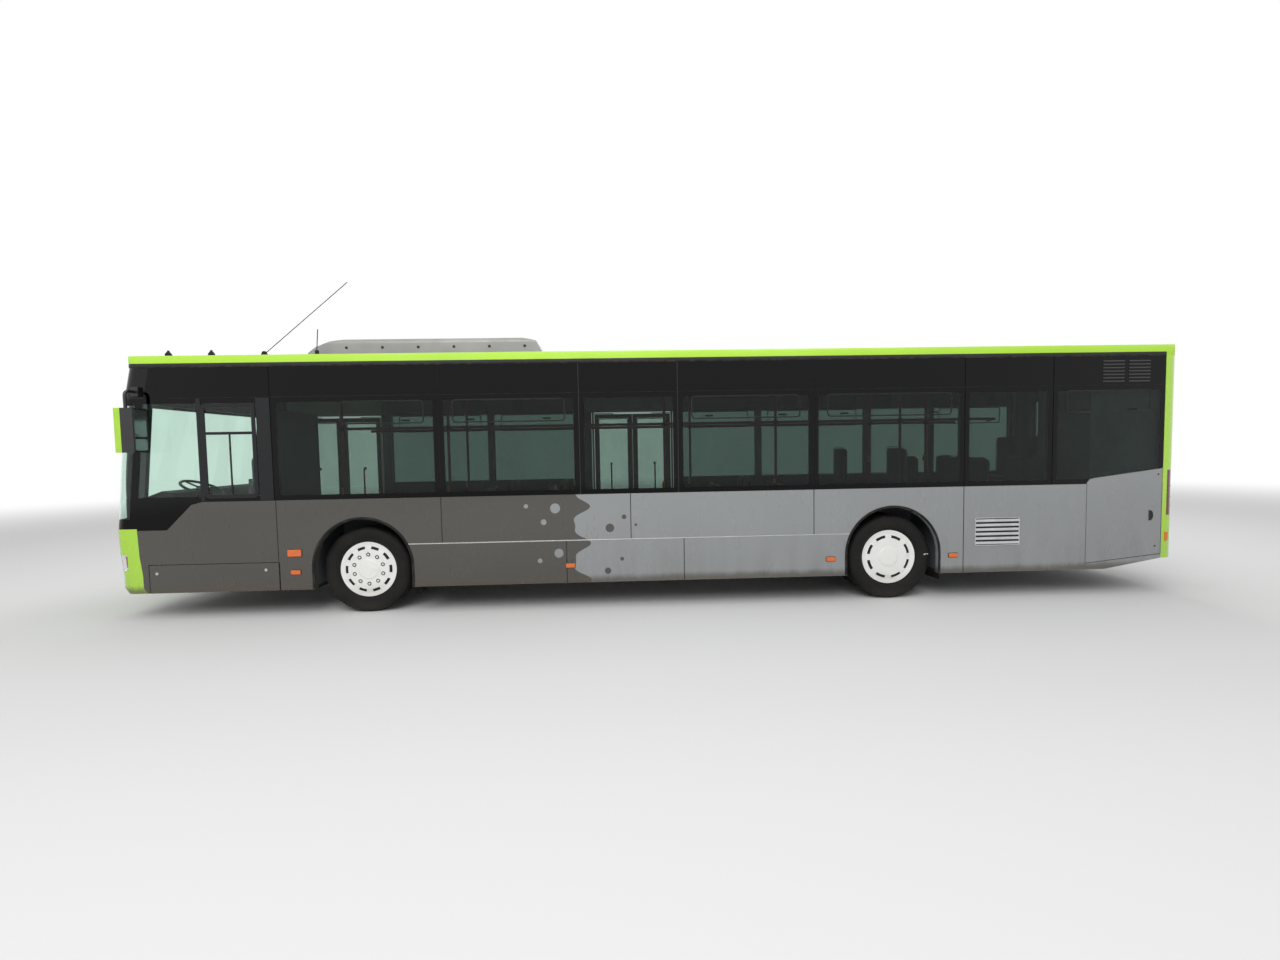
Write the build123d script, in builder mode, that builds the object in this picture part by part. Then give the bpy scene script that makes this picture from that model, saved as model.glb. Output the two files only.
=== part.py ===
# City bus: full-size low-floor bus, two double doors on its right side, engine at the rear left.
# Millimetres. +X forward, +Y left, +Z up, origin on the ground at the middle of the outline.

from build123d import *
from math import asin, cos, radians, sin
import os

os.makedirs("parts", exist_ok=True)

# Overall sizes
length = 12000
width = 2550
front_axle_x = 3310
rear_axle_x = -2600
half_width = width / 2
nose_x = length / 2
tail_x = -length / 2

# Heights
skirt_z = 295
belt_z = 1280
mask_top_z = 1000
band_z = 2395
cant_z = 2730
crown_z = 2965


def end_reach(bulge_r, corner_r):
    """How far the corner arcs of a rounded end reach back from its tip."""
    slant = asin((half_width - corner_r) / (bulge_r - corner_r))
    return bulge_r - (bulge_r - corner_r) * cos(slant)


# Body shell
wall = 60
glass = 8
bond = 0.3
front_bulge_r = 20000
front_corner_r = 140
rear_bulge_r = 9000
rear_corner_r = 150
front_seam_x = nose_x - 305
seam_flat = 20
rear_seam_x = tail_x + max(255, end_reach(rear_bulge_r, rear_corner_r) + seam_flat)
tail_sweep_x = tail_x + 925
tail_sweep_z = 410
roof_wall = 50
roof_corner_r = 120
roof_crown_r = 7000
roof_end_r = 235
roof_over = 15
roof_cross = 3  # the corner arcs of the roof's ends cross its sides instead of meeting them

# Front rake: each row is a height and how far the whole front outline stands back there
front_rake = [
    # z, set back
    (skirt_z, 75),
    (355, 35),
    (485, 35),
    (700, 10),
    (mask_top_z, 0),
    (band_z, 150),
    (cant_z, 225),
]

# Floors
floor_t = 60
floor_z = 340
rear_floor_z = 600
step_x = -1760
engine_wall_x = -4880

# Wheels: 275/70 R 22.5 tyres, twins at the rear
tyre_d = 957
tyre_w = 275
bead_r = 290
rim_bore_r = 268
hub_r = 140
front_wheel_y = 1050
twin_inner_y = 761
twin_outer_y = 1069
wheel_z = tyre_d / 2
kingpin_y = 930

# Arches and wheel boxes
arch_r = 525
arch_z = 530
box_t = 30
front_box_y = 490
rear_box_y = 570
box_half_x = 590
box_top_z = 1100


def on_xz(y):
    """The plane with local x along the bus and local y up, at a given y."""
    return Plane(origin=(0, y, 0), x_dir=(1, 0, 0), z_dir=(0, -1, 0))


def on_yz(x):
    """The plane with local x to the left and local y up, at a given x."""
    return Plane(origin=(x, 0, 0), x_dir=(0, 1, 0), z_dir=(1, 0, 0))


def save(block, name):
    """Label one finished piece and write its file."""
    block.part.label = name
    export_step(block.part, f"parts/{name}.step")


def end_outline(tip_x, bulge_r, corner_r, inset, back_x):
    """Plan outline of a rounded end: side, corner arc, bulged face, corner arc, side."""
    side = 1 if tip_x > 0 else -1
    half = half_width - corner_r
    slant = asin(half / (bulge_r - corner_r))
    bulge_c = abs(tip_x) - bulge_r
    corner_x = bulge_c + (bulge_r - corner_r) * cos(slant)
    r = corner_r - inset
    mid = (radians(90) + slant) / 2
    side_y = half_width - inset
    end = (corner_x + r * sin(radians(90) - slant), half + r * sin(slant))
    halfway = (corner_x + r * cos(mid), half + r * sin(mid))
    tip = (abs(tip_x) - inset, 0)

    def at(point, turn=1):
        return (side * point[0], turn * point[1])

    Line((back_x, side_y), (side * corner_x, side_y))
    ThreePointArc((side * corner_x, side_y), at(halfway), at(end))
    ThreePointArc(at(end), at(tip), at(end, -1))
    ThreePointArc(at(end, -1), at(halfway, -1), (side * corner_x, -side_y))
    Polyline((side * corner_x, -side_y), (back_x, -side_y), (back_x, side_y))


def front_setback(z):
    """How far the front outline stands back at a height, from the rake table."""
    for (z0, s0), (z1, s1) in zip(front_rake, front_rake[1:]):
        if z0 <= z <= z1:
            return s0 + (s1 - s0) * (z - z0) / (z1 - z0)
    return front_rake[-1][1]


def seam_x(z):
    """Where the side walls end and the front begins at a height."""
    return front_seam_x - front_setback(z)


def rake_levels(low, high):
    """The heights between two levels at which the front's slope changes, ends included."""
    return [low] + [z for z, _ in front_rake if low < z < high] + [high]


def front_prism(low, high, outer, back_x, mode=Mode.ADD):
    """The raked front end between two heights, as oblique prisms of one plan outline."""
    levels = rake_levels(low, high)
    for z0, z1 in zip(levels, levels[1:]):
        s0, s1 = front_setback(z0), front_setback(z1)
        run = Vector(s0 - s1, 0, z1 - z0)
        with BuildSketch(Plane.XY.offset(z0)) as plan:
            with BuildLine():
                end_outline(nose_x - s0, front_bulge_r, front_corner_r, outer, back_x - s0)
            make_face()
        extrude(plan.sketch, amount=run.length, dir=run.normalized(), mode=mode)


def block(x0, x1, y0, y1, z0, z1, mode=Mode.ADD):
    """A box between two corners."""
    with BuildSketch(Plane.XY.offset(z0)) as base:
        with Locations(((x0 + x1) / 2, (y0 + y1) / 2)):
            Rectangle(abs(x1 - x0), abs(y1 - y0))
    extrude(base.sketch, amount=z1 - z0, mode=mode)


# Left side: seams between the side panes, and which bays have a hopper vent at the top
left_seams = [4225, 2445, 915, -175, -1695, -3415, -4435, rear_seam_x]
right_seams = [3990, 2445, 1000, -460, -1695, -3415, -4435, rear_seam_x]
pillar_w = 90
pane_gap = 6

# Driver's window on the left, which drops towards the windscreen
cab_rear_x = 4225
cab_sill_z = 980
cab_sill_x = front_seam_x - 315
sill_round = (120, 30)
sill_rise = belt_z - sill_round[1] - cab_sill_z
cab_sill = [
    (cab_sill_x, cab_sill_z),
    (cab_sill_x - sill_rise, belt_z - sill_round[1]),
    (cab_sill_x - sill_rise - sill_round[0], belt_z),
]
cab_frame = 60

# Doors on the right: clear openings, each closed by two leaves that glide inwards
door_bottom_z = floor_z
door_top_z = 2350
doors = [
    # name, rear edge x, front edge x
    ("front", 4070, 5330),
    ("middle", -360, 900),
]
leaf_t = 40
leaf_from_post = 24
leaf_meet_gap = 14
leaf_over_roller = 6
leaf_end_gap = 30
post_r = 16
post_line_y = -(half_width - leaf_t / 2)
post_from_jamb = 21
arm_t = 12
arm_w = 24
arm_z = (floor_z + 6, door_top_z - 24)
leaf_post_gap = 0.3

rebate = glass + bond

# Flaps
rear_flap = [(-4852, 371), (rear_seam_x + 10, 461), (rear_seam_x + 10, 1444), (-4960, 1349), (-4885, 1335),
             (-4852, 1295)]
front_flap_x = (4212, 5590)
front_flap_top = 600
flap_gap = 7
flap_t = 30


def wall_outline(top):
    """Side view of a wall: straight skirt, swept up behind the rear axle."""
    Polyline(
        *[(seam_x(z), z) for z in rake_levels(skirt_z, top)],
        (rear_seam_x, top),
        (rear_seam_x, tail_sweep_z),
        (tail_sweep_x, skirt_z),
        close=True,
    )


def cab_window(inset):
    """The driver's window in side view, from its dropped sill up to the roof, moved inwards."""
    top = cant_z if inset < cab_frame else band_z + 40
    sill = [(x - inset / 2, z + inset) for x, z in cab_sill]
    front = [(seam_x(z) - inset, z) for z in rake_levels(cab_sill_z + inset, top - inset)]
    rear_x = cab_rear_x + (inset if inset < cab_frame else pillar_w / 2)
    return front[::-1] + sill + [(rear_x, belt_z + inset), (rear_x, top - inset)]


def wall_prism(sign, outer, inner, top):
    """The plain wall slab of one side."""
    with BuildSketch(on_xz(sign * outer)) as view:
        with BuildLine():
            wall_outline(top)
        make_face()
    extrude(view.sketch, amount=sign * (outer - inner))


def side_cut(sign, points, outer=half_width + 50, inner=half_width - wall - 50):
    """Cut a polygon of the side view through one wall."""
    with BuildSketch(on_xz(sign * outer)) as view:
        with BuildLine():
            Polyline(*points, close=True)
        make_face()
    extrude(view.sketch, amount=sign * (outer - inner), mode=Mode.SUBTRACT)


def side_box(sign, x0, x1, z0, z1, outer, inner, mode):
    """A box in one wall, given its side view and its distances from the middle."""
    low, high = sorted((sign * outer, sign * inner))
    block(x0, x1, low, high, z0, z1, mode)


def arch_cut(sign, axle_x):
    """The round wheel arch in one wall."""
    outer = half_width + 50
    with BuildSketch(on_xz(sign * outer)) as view:
        with Locations((axle_x, arch_z)):
            Circle(arch_r)
        with Locations((axle_x, arch_z - arch_r)):
            Rectangle(2 * arch_r, 2 * arch_r)
    extrude(view.sketch, amount=sign * (wall + 100), mode=Mode.SUBTRACT)


def corner_window(inset):
    """The fixed pane between the front door and the windscreen, moved inwards."""
    top = cant_z if inset < cab_frame else band_z + 40
    front = [(seam_x(z) - inset, z) for z in rake_levels(belt_z + inset, top - inset)]
    rear_x = doors[0][2] + 12 + (0 if inset < cab_frame else 20)
    return front[::-1] + [(rear_x, belt_z + inset), (rear_x, top - inset)]


def window_bays(seams):
    """The clear opening of each bay between two seams."""
    return [(a - pillar_w / 2, b + pillar_w / 2) for a, b in zip(seams, seams[1:])]


def grown(points, gap):
    """A convex polygon moved outwards by a gap, corner by corner."""
    cx = sum(p[0] for p in points) / len(points)
    cz = sum(p[1] for p in points) / len(points)
    return [
        (x + (gap if x > cx else -gap), z + (gap if z > cz else -gap))
        for x, z in points
    ]


# Left wall: skirts, waist panels, pillars and the frame round the windows, as one welded side
with BuildPart() as left_side_wall:
    wall_prism(1, half_width, half_width - wall, cant_z)
    side_box(1, rear_seam_x - 5, cab_rear_x + 50, belt_z, cant_z + 5, half_width + 5,
             half_width - rebate, Mode.SUBTRACT)
    side_cut(1, cab_window(0), half_width + 5, half_width - rebate)
    for x0, x1 in window_bays(left_seams):
        side_box(1, x1, x0, belt_z + 40, band_z - 20, half_width + 5, half_width - wall - 5,
                 Mode.SUBTRACT)
    side_cut(1, cab_window(cab_frame))
    arch_cut(1, front_axle_x)
    arch_cut(1, rear_axle_x)
    side_cut(1, grown(rear_flap, flap_gap), half_width + 5, half_width - flap_t - bond)
    side_cut(1, [(x + (-60 if x > -5000 else 60), z + (60 if z < 900 else -60))
             for x, z in rear_flap[:4]])
    side_box(1, front_flap_x[0] - flap_gap, front_flap_x[1] + flap_gap, skirt_z - 5,
             front_flap_top + flap_gap, half_width + 5, half_width - flap_t - bond,
             Mode.SUBTRACT)
    side_box(1, front_flap_x[0] + 60, front_flap_x[1] - 60, skirt_z + 60,
             front_flap_top - 60, half_width + 5, half_width - wall - 5, Mode.SUBTRACT)
save(left_side_wall, "left_side_wall")

# Right wall: the same side with two door openings
with BuildPart() as right_side_wall:
    wall_prism(-1, half_width, half_width - wall, cant_z)
    side_box(-1, rear_seam_x - 5, front_seam_x + 5, belt_z, cant_z + 5, half_width + 5,
             half_width - rebate, Mode.SUBTRACT)
    for number, (x0, x1) in enumerate(window_bays(right_seams)):
        if number != 2:
            side_box(-1, x1, x0, belt_z + 40, band_z - 20, half_width + 5,
                     half_width - wall - 5, Mode.SUBTRACT)
    for _, x0, x1 in doors:
        side_box(-1, x0, x1, door_bottom_z, door_top_z, half_width + 5,
                 half_width - wall - 5, Mode.SUBTRACT)
    side_cut(-1, corner_window(cab_frame))
    arch_cut(-1, front_axle_x)
    arch_cut(-1, rear_axle_x)
save(right_side_wall, "right_side_wall")

# Side panes: toughened glass bonded to the pillars, flush with the skin
with BuildPart() as left_windows:
    for a, b in zip(left_seams, left_seams[1:]):
        side_box(1, b + pane_gap / 2, a - pane_gap / 2, belt_z + pane_gap / 2,
                 cant_z - pane_gap / 2, half_width, half_width - glass, Mode.ADD)
    with BuildSketch(on_xz(half_width)) as view:
        with BuildLine():
            Polyline(*cab_window(pane_gap / 2), close=True)
        make_face()
    extrude(view.sketch, amount=glass)
    side_cut(1, grown(rear_flap, flap_gap), half_width + 5, half_width - glass - 2)
save(left_windows, "left_windows")

with BuildPart() as right_windows:
    for number, (a, b) in enumerate(zip(right_seams, right_seams[1:])):
        if number != 2:
            side_box(-1, b + pane_gap / 2, a - pane_gap / 2, belt_z + pane_gap / 2,
                     cant_z - pane_gap / 2, half_width, half_width - glass, Mode.ADD)
    with BuildSketch(on_xz(-half_width)) as view:
        with BuildLine():
            Polyline(*corner_window(pane_gap / 2), close=True)
        make_face()
    extrude(view.sketch, amount=-glass)
    for _, x0, x1 in doors:
        side_box(-1, x0 - 9, x1 + 9, door_top_z + 20, cant_z - 3,
                 half_width, half_width - glass, Mode.ADD)
save(right_windows, "right_windows")


# Front: a raked shell in three storeys, the painted mask, the windscreen and the display cover
screen_inset = 5
mask_t = 40
header_t = 8
lamp_z = (548, 722)
lamp_y = 820
lamp_back_x = front_seam_x + 117
lamp_t = 25
bar_t = 60
tow_y = -420
tow_z = 420
tow_r = 21
rear_tow_z = 485


def shell(low, high, outer, thick, back_x=front_seam_x):
    """One storey of the raked front end, hollow, between two heights."""
    front_prism(low, high, outer, back_x)
    front_prism(low, high, outer + thick, back_x - 10, Mode.SUBTRACT)


with BuildPart() as front_mask:
    shell(skirt_z, mask_top_z, 0, mask_t)
    for sign in (1, -1):
        low, high = sorted((sign * lamp_y, sign * (half_width + 10)))
        block(lamp_back_x, nose_x + 10, low, high, lamp_z[0], lamp_z[1], Mode.SUBTRACT)
    with BuildSketch(on_yz(nose_x - front_setback(tow_z) - mask_t - bar_t)) as bar:
        with Locations((0, tow_z)):
            Rectangle(1500, 90)
    extrude(bar.sketch, amount=bar_t + mask_t * 0.2)
    with BuildSketch(on_yz(nose_x + 5)) as tow:
        with Locations((tow_y, tow_z)):
            Circle(tow_r)
    extrude(tow.sketch, amount=-200, mode=Mode.SUBTRACT)
save(front_mask, "front_mask")

with BuildPart() as headlamps:
    front_prism(lamp_z[0] + bond, lamp_z[1] - bond, 2, front_seam_x)
    front_prism(lamp_z[0], lamp_z[1], 2 + lamp_t, front_seam_x - 10, Mode.SUBTRACT)
    block(front_seam_x - 80, lamp_back_x + bond, -half_width - 10, half_width + 10,
          lamp_z[0], lamp_z[1], Mode.SUBTRACT)
    block(front_seam_x, nose_x + 10, -lamp_y - bond, lamp_y + bond, lamp_z[0], lamp_z[1],
          Mode.SUBTRACT)
save(headlamps, "headlamps")

with BuildPart() as windscreen:
    shell(mask_top_z + bond, band_z, screen_inset, glass)
save(windscreen, "windscreen")

# Header over the windscreen: a glass cover with the closed display box behind it
with BuildPart() as display_box:
    block(nose_x - 520, nose_x, -850, 850, band_z + 40, cant_z - 5)
    front_prism(band_z + 20, cant_z - 2, 84 + bond, 0, Mode.INTERSECT)
with BuildPart() as destination_display:
    shell(band_z + bond, cant_z - bond, screen_inset, header_t)
    add(display_box.part)
save(destination_display, "destination_display")

# Front frame: corner posts and the cross beams that carry the windscreen
post_x = (front_seam_x, front_seam_x + 70)
with BuildPart() as front_frame:
    front_prism(skirt_z + 20, cant_z - bond, screen_inset + glass + 1 + 30, post_x[0])
    front_prism(skirt_z + 10, cant_z + 10, screen_inset + glass + 1 + 80, post_x[0] - 10,
                Mode.SUBTRACT)
    block(post_x[0] - 5, nose_x + 50, -half_width + 280, half_width - 280, mask_top_z - 60,
          band_z - 30, Mode.SUBTRACT)
    block(post_x[1] + 60, nose_x + 50, -half_width, half_width, mask_top_z - 60,
          band_z - 30, Mode.SUBTRACT)
    block(post_x[0] - 100, nose_x + 50, -half_width, half_width, skirt_z, lamp_z[1] + 30,
          Mode.SUBTRACT)
    front_prism(band_z - 30, cant_z - bond, 44, post_x[0])
    front_prism(band_z - 40, cant_z + 10, 84, post_x[0] - 10, Mode.SUBTRACT)
save(front_frame, "front_frame")

# Rear end: one moulded shell with openings for the rear window and the engine lid
rear_t = 50
rear_window_y = 960
rear_window_z = (1560, 2380)
lid_y = 780
lid_z = (560, 1440)
lid_gap = 7
lid_t = 34
tail_lamp_z = (905, 1425)
tail_lamp_y = 1060
tail_lamp_x = tail_x + 205
rear_sill_z = tail_sweep_z


def rear_prism(low, high, inset, back_x, mode=Mode.ADD):
    """The upright rear end between two heights."""
    with BuildSketch(Plane.XY.offset(low)) as plan:
        with BuildLine():
            end_outline(tail_x, rear_bulge_r, rear_corner_r, inset, back_x)
        make_face()
    extrude(plan.sketch, amount=high - low, mode=mode)


lid_lip = 40
with BuildPart() as lid_recess:
    rear_prism(lid_z[0] - lid_gap, lid_z[1] + lid_gap, -5, rear_seam_x)
    rear_prism(lid_z[0] - 20, lid_z[1] + 20, 1 + lid_t + bond, rear_seam_x + 10, Mode.SUBTRACT)
    for sign in (1, -1):
        low, high = sorted((sign * (lid_y + lid_gap), sign * (half_width + 10)))
        block(tail_x - 20, rear_seam_x + 20, low, high, lid_z[0] - 20, lid_z[1] + 20,
              Mode.SUBTRACT)
with BuildPart() as rear_wall:
    rear_prism(rear_sill_z, cant_z, 0, rear_seam_x)
    rear_prism(rear_sill_z - 10, cant_z + 10, rear_t, rear_seam_x + 10, Mode.SUBTRACT)
    block(tail_x - 10, tail_x + 140, -rear_window_y, rear_window_y, rear_window_z[0],
          rear_window_z[1], Mode.SUBTRACT)
    add(lid_recess.part, mode=Mode.SUBTRACT)
    block(tail_x - 10, tail_x + 160, -lid_y + lid_lip, lid_y - lid_lip, lid_z[0] + lid_lip,
          lid_z[1] - lid_lip, Mode.SUBTRACT)
    for sign in (1, -1):
        low, high = sorted((sign * tail_lamp_y, sign * (half_width + 10)))
        block(tail_x - 10, tail_lamp_x, low, high, tail_lamp_z[0], tail_lamp_z[1],
              Mode.SUBTRACT)
    with BuildSketch(on_yz(tail_x - 5)) as tow:
        with Locations((tow_y, rear_tow_z)):
            Circle(tow_r)
    extrude(tow.sketch, amount=200, mode=Mode.SUBTRACT)
save(rear_wall, "rear_wall")

with BuildPart() as rear_window:
    rear_prism(rear_window_z[0] + bond, rear_window_z[1] - bond, 4, rear_seam_x)
    rear_prism(rear_window_z[0], rear_window_z[1], 4 + glass, rear_seam_x + 10, Mode.SUBTRACT)
    for sign in (1, -1):
        low, high = sorted((sign * (rear_window_y - bond), sign * (half_width + 10)))
        block(tail_x - 10, rear_seam_x + 20, low, high, rear_window_z[0], rear_window_z[1],
              Mode.SUBTRACT)
save(rear_window, "rear_window")

with BuildPart() as tail_lamps:
    rear_prism(tail_lamp_z[0] + bond, tail_lamp_z[1] - bond, 2, rear_seam_x)
    rear_prism(tail_lamp_z[0], tail_lamp_z[1], 42, rear_seam_x + 10, Mode.SUBTRACT)
    block(tail_x - 10, tail_x + 240, -tail_lamp_y - bond, tail_lamp_y + bond,
          tail_lamp_z[0], tail_lamp_z[1], Mode.SUBTRACT)
    block(tail_lamp_x - bond, rear_seam_x + 20, -half_width - 10, half_width + 10,
          tail_lamp_z[0], tail_lamp_z[1], Mode.SUBTRACT)
save(tail_lamps, "tail_lamps")

# Engine lid, hinged along its top edge behind the rear wall's skin
with BuildPart() as engine_lid:
    rear_prism(lid_z[0], lid_z[1], 1, rear_seam_x)
    rear_prism(lid_z[0] - 10, lid_z[1] + 10, 1 + lid_t, rear_seam_x + 10, Mode.SUBTRACT)
    for sign in (1, -1):
        low, high = sorted((sign * lid_y, sign * (half_width + 10)))
        block(tail_x - 10, rear_seam_x + 20, low, high, lid_z[0] - 10, lid_z[1] + 10,
              Mode.SUBTRACT)
save(engine_lid, "engine_lid")


# Roof: moulded shell with a crowned section and rounded ends
def roof_section(inset):
    """Cross section of the roof: short upright edge, corner arc and a wide crown."""
    r = roof_corner_r - inset
    crown_c = crown_z - roof_crown_r
    half = half_width - roof_corner_r
    lean = asin(half / (roof_crown_r - roof_corner_r))
    corner_z = crown_c + (roof_crown_r - roof_corner_r) * cos(lean)
    mid = (radians(90) + lean) / 2
    side = half_width - inset
    end = (half + r * sin(lean), corner_z + r * cos(lean))
    halfway = (half + r * sin(mid), corner_z + r * cos(mid))
    Polyline((-side, corner_z), (-side, cant_z - 60), (side, cant_z - 60), (side, corner_z))
    ThreePointArc((side, corner_z), halfway, end)
    ThreePointArc(end, (0, crown_z - inset), (-end[0], end[1]))
    ThreePointArc((-end[0], end[1]), (-halfway[0], halfway[1]), (-side, corner_z))


def roof_side(inset):
    """Side view of the roof: straight top and a rounded front and rear end."""
    front = nose_x - front_setback(cant_z) + roof_over - inset
    rear = tail_x - roof_over + inset
    r = roof_end_r - inset
    top = crown_z - inset
    k = r * (1 - cos(radians(45)))
    Line((front, cant_z - 60), (front, top - r))
    ThreePointArc((front, top - r), (front - k, top - k), (front - r, top))
    Line((front - r, top), (rear + r, top))
    ThreePointArc((rear + r, top), (rear + k, top - k), (rear, top - r))
    Polyline((rear, top - r), (rear, cant_z - 60), (front, cant_z - 60))


def roof_body(inset, low):
    """The solid under the roof skin at a given inset, from a height up."""
    with BuildSketch(on_yz(-length)) as section:
        with BuildLine():
            roof_section(inset)
        make_face()
    extrude(section.sketch, amount=2 * length)
    with BuildSketch(on_xz(width)) as view:
        with BuildLine():
            roof_side(inset)
        make_face()
    extrude(view.sketch, amount=2 * width, mode=Mode.INTERSECT)
    with BuildSketch(Plane.XY.offset(low)) as plan:
        with BuildLine():
            end_outline(nose_x - front_setback(cant_z) - roof_cross, front_bulge_r, front_corner_r,
                        inset - roof_cross, 0)
        make_face()
        with BuildLine():
            end_outline(tail_x + roof_cross, rear_bulge_r, rear_corner_r, inset - roof_cross, 0)
        make_face()
    extrude(plan.sketch, amount=crown_z, mode=Mode.INTERSECT)


hatches = [
    # centre x
    (900,),
    (-3300,),
]
hatch_w = 760
hatch_rim = 14
with BuildPart() as roof_core:
    roof_body(roof_wall, cant_z - 30)
with BuildPart() as roof_outer:
    roof_body(0, cant_z)
with BuildPart() as roof:
    add(roof_outer.part)
    add(roof_core.part, mode=Mode.SUBTRACT)
    for (x,) in hatches:
        block(x - hatch_w / 2, x + hatch_w / 2, -hatch_w / 2, hatch_w / 2, cant_z + 100,
              crown_z + 50, Mode.SUBTRACT)
save(roof, "roof")

# Roof hatches: pop-up lids that seal on the rim of their opening
with BuildPart() as roof_hatches:
    for (x,) in hatches:
        block(x - hatch_w / 2 + hatch_rim, x + hatch_w / 2 - hatch_rim, -hatch_w / 2 + hatch_rim,
              hatch_w / 2 - hatch_rim, crown_z - roof_wall, crown_z + 4)
        block(x - hatch_w / 2 - 30, x + hatch_w / 2 + 30, -hatch_w / 2 - 30,
              hatch_w / 2 + 30, crown_z + 0.3, crown_z + 26)
save(roof_hatches, "roof_hatches")

# Air-conditioner pod behind the cab: long sloped nose, short rounded tail
pod_x = (1340, 4055)
pod_y = 800
pod_top_z = 3105
pod_base_z = 2900
with BuildPart() as air_conditioner_pod:
    with BuildSketch(on_xz(pod_y)) as view:
        with BuildLine():
            Polyline((pod_x[1], pod_base_z), (pod_x[1] - 5, 2945), (pod_x[1] - 90, 3010), (pod_x[1] - 260, 3078),
                     (pod_x[1] - 430, pod_top_z), (pod_x[0] + 270, pod_top_z),
                     (pod_x[0] + 90, 3065), (pod_x[0], pod_base_z), close=True)
        make_face()
    extrude(view.sketch, amount=2 * pod_y)
    fillet(air_conditioner_pod.edges().filter_by(Axis.X).group_by(Axis.Z)[-1], radius=60)
    add(roof_outer.part, mode=Mode.SUBTRACT)
save(air_conditioner_pod, "air_conditioner_pod")


# Floor: low floor from the front to behind the middle door, a step, then the raised rear floor
inner_y = half_width - wall
floor_gap = 0.3
axle_slot_x = 130
pad_x = 1600
pad_y = 1000
pad_w = 120
pad_h = 18
with BuildPart() as floor:
    block(step_x, front_seam_x - 60, -inner_y + floor_gap, inner_y - floor_gap,
          floor_z - floor_t, floor_z)
    block(engine_wall_x, step_x, -inner_y + floor_gap, inner_y - floor_gap,
          rear_floor_z - floor_t, rear_floor_z)
    block(step_x - 40, step_x, -inner_y + floor_gap, inner_y - floor_gap,
          floor_z - floor_t, rear_floor_z)
    block(engine_wall_x - 40, engine_wall_x, -inner_y + floor_gap, inner_y - floor_gap,
          rear_floor_z - floor_t, 1180)
    block(rear_seam_x - 30, engine_wall_x - 40, -inner_y + floor_gap, inner_y - floor_gap,
          1140, 1180)
    for x, y0 in ((front_axle_x, front_box_y), (rear_axle_x, rear_box_y)):
        for low, high in ((y0, inner_y + 5), (-inner_y - 5, -y0)):
            block(x - box_half_x, x + box_half_x, low, high, 0, 1000, Mode.SUBTRACT)
    for side in (1, -1):
        low, high = sorted((side * (pad_y - pad_w / 2), side * (pad_y + pad_w / 2)))
        block(pad_x - pad_w / 2, pad_x + pad_w / 2, low, high, floor_z - floor_t - pad_h,
              floor_z - floor_t)
save(floor, "floor")

# Wheel boxes: steel housings over the four wheels, open below and at the outside
with BuildPart() as wheel_boxes:
    for x, y0, top in ((front_axle_x, front_box_y, box_top_z), (rear_axle_x, rear_box_y, box_top_z)):
        for side in (1, -1):
            low, high = sorted((side * y0, side * (inner_y - floor_gap)))
            inside_low, inside_high = sorted((side * (y0 + box_t), side * (inner_y + 10)))
            block(x - box_half_x, x + box_half_x, low, high, floor_z - floor_t, top)
            block(x - box_half_x + box_t, x + box_half_x - box_t, inside_low, inside_high,
                  floor_z - floor_t - 5, top - box_t, Mode.SUBTRACT)
    block(rear_axle_x - axle_slot_x, rear_axle_x + axle_slot_x, -rear_box_y - box_t - 5,
          rear_box_y + box_t + 5, 0, rear_floor_z - 10, Mode.SUBTRACT)
save(wheel_boxes, "wheel_boxes")

# Chassis rails below the raised rear floor carry the rear axle, the engine and the tow eye
rail_y = 430
rail_w = 70
rail_h = 120
tail_beam_x = tail_x + 110
with BuildPart() as chassis_rails:
    for side in (1, -1):
        low, high = sorted((side * (rail_y - rail_w / 2), side * (rail_y + rail_w / 2)))
        block(tail_beam_x, step_x - 60, low, high, rear_floor_z - floor_t - rail_h,
              rear_floor_z - floor_t)
    block(tail_beam_x, tail_beam_x + 60, -900, 900, 430, rear_floor_z - floor_t)
save(chassis_rails, "chassis_rails")

# Front axle: low beam between the kingpins, dropped in the middle under the floor
beam_z = 250
pin_r = 26
pin_clear = 0.4
fork_z = (358, 598)
fork_t = 44
with BuildPart() as front_axle_beam:
    block(front_axle_x - 50, front_axle_x + 50, -kingpin_y + 60, kingpin_y - 60,
          beam_z - 55, beam_z + 29)
    for side in (1, -1):
        low, high = sorted((side * (kingpin_y - 110), side * (kingpin_y - 60)))
        block(front_axle_x - 50, front_axle_x + 50, low, high, beam_z - 55, fork_z[1])
        low, high = sorted((side * (kingpin_y - 70), side * (kingpin_y + 36)))
        for z in fork_z:
            block(front_axle_x - 36, front_axle_x + 36, low, high, z - fork_t, z)
        with BuildSketch(Plane.XY.offset(fork_z[0] - fork_t)) as pin:
            with Locations((front_axle_x, side * kingpin_y)):
                Circle(pin_r)
        extrude(pin.sketch, amount=fork_z[1] - fork_z[0] + fork_t)
        low, high = sorted((side * (front_box_y - 40), side * (front_box_y - 120)))
        block(front_axle_x - 45, front_axle_x + 45, low, high, beam_z + 20, floor_z - floor_t)
save(front_axle_beam, "front_axle")

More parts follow.
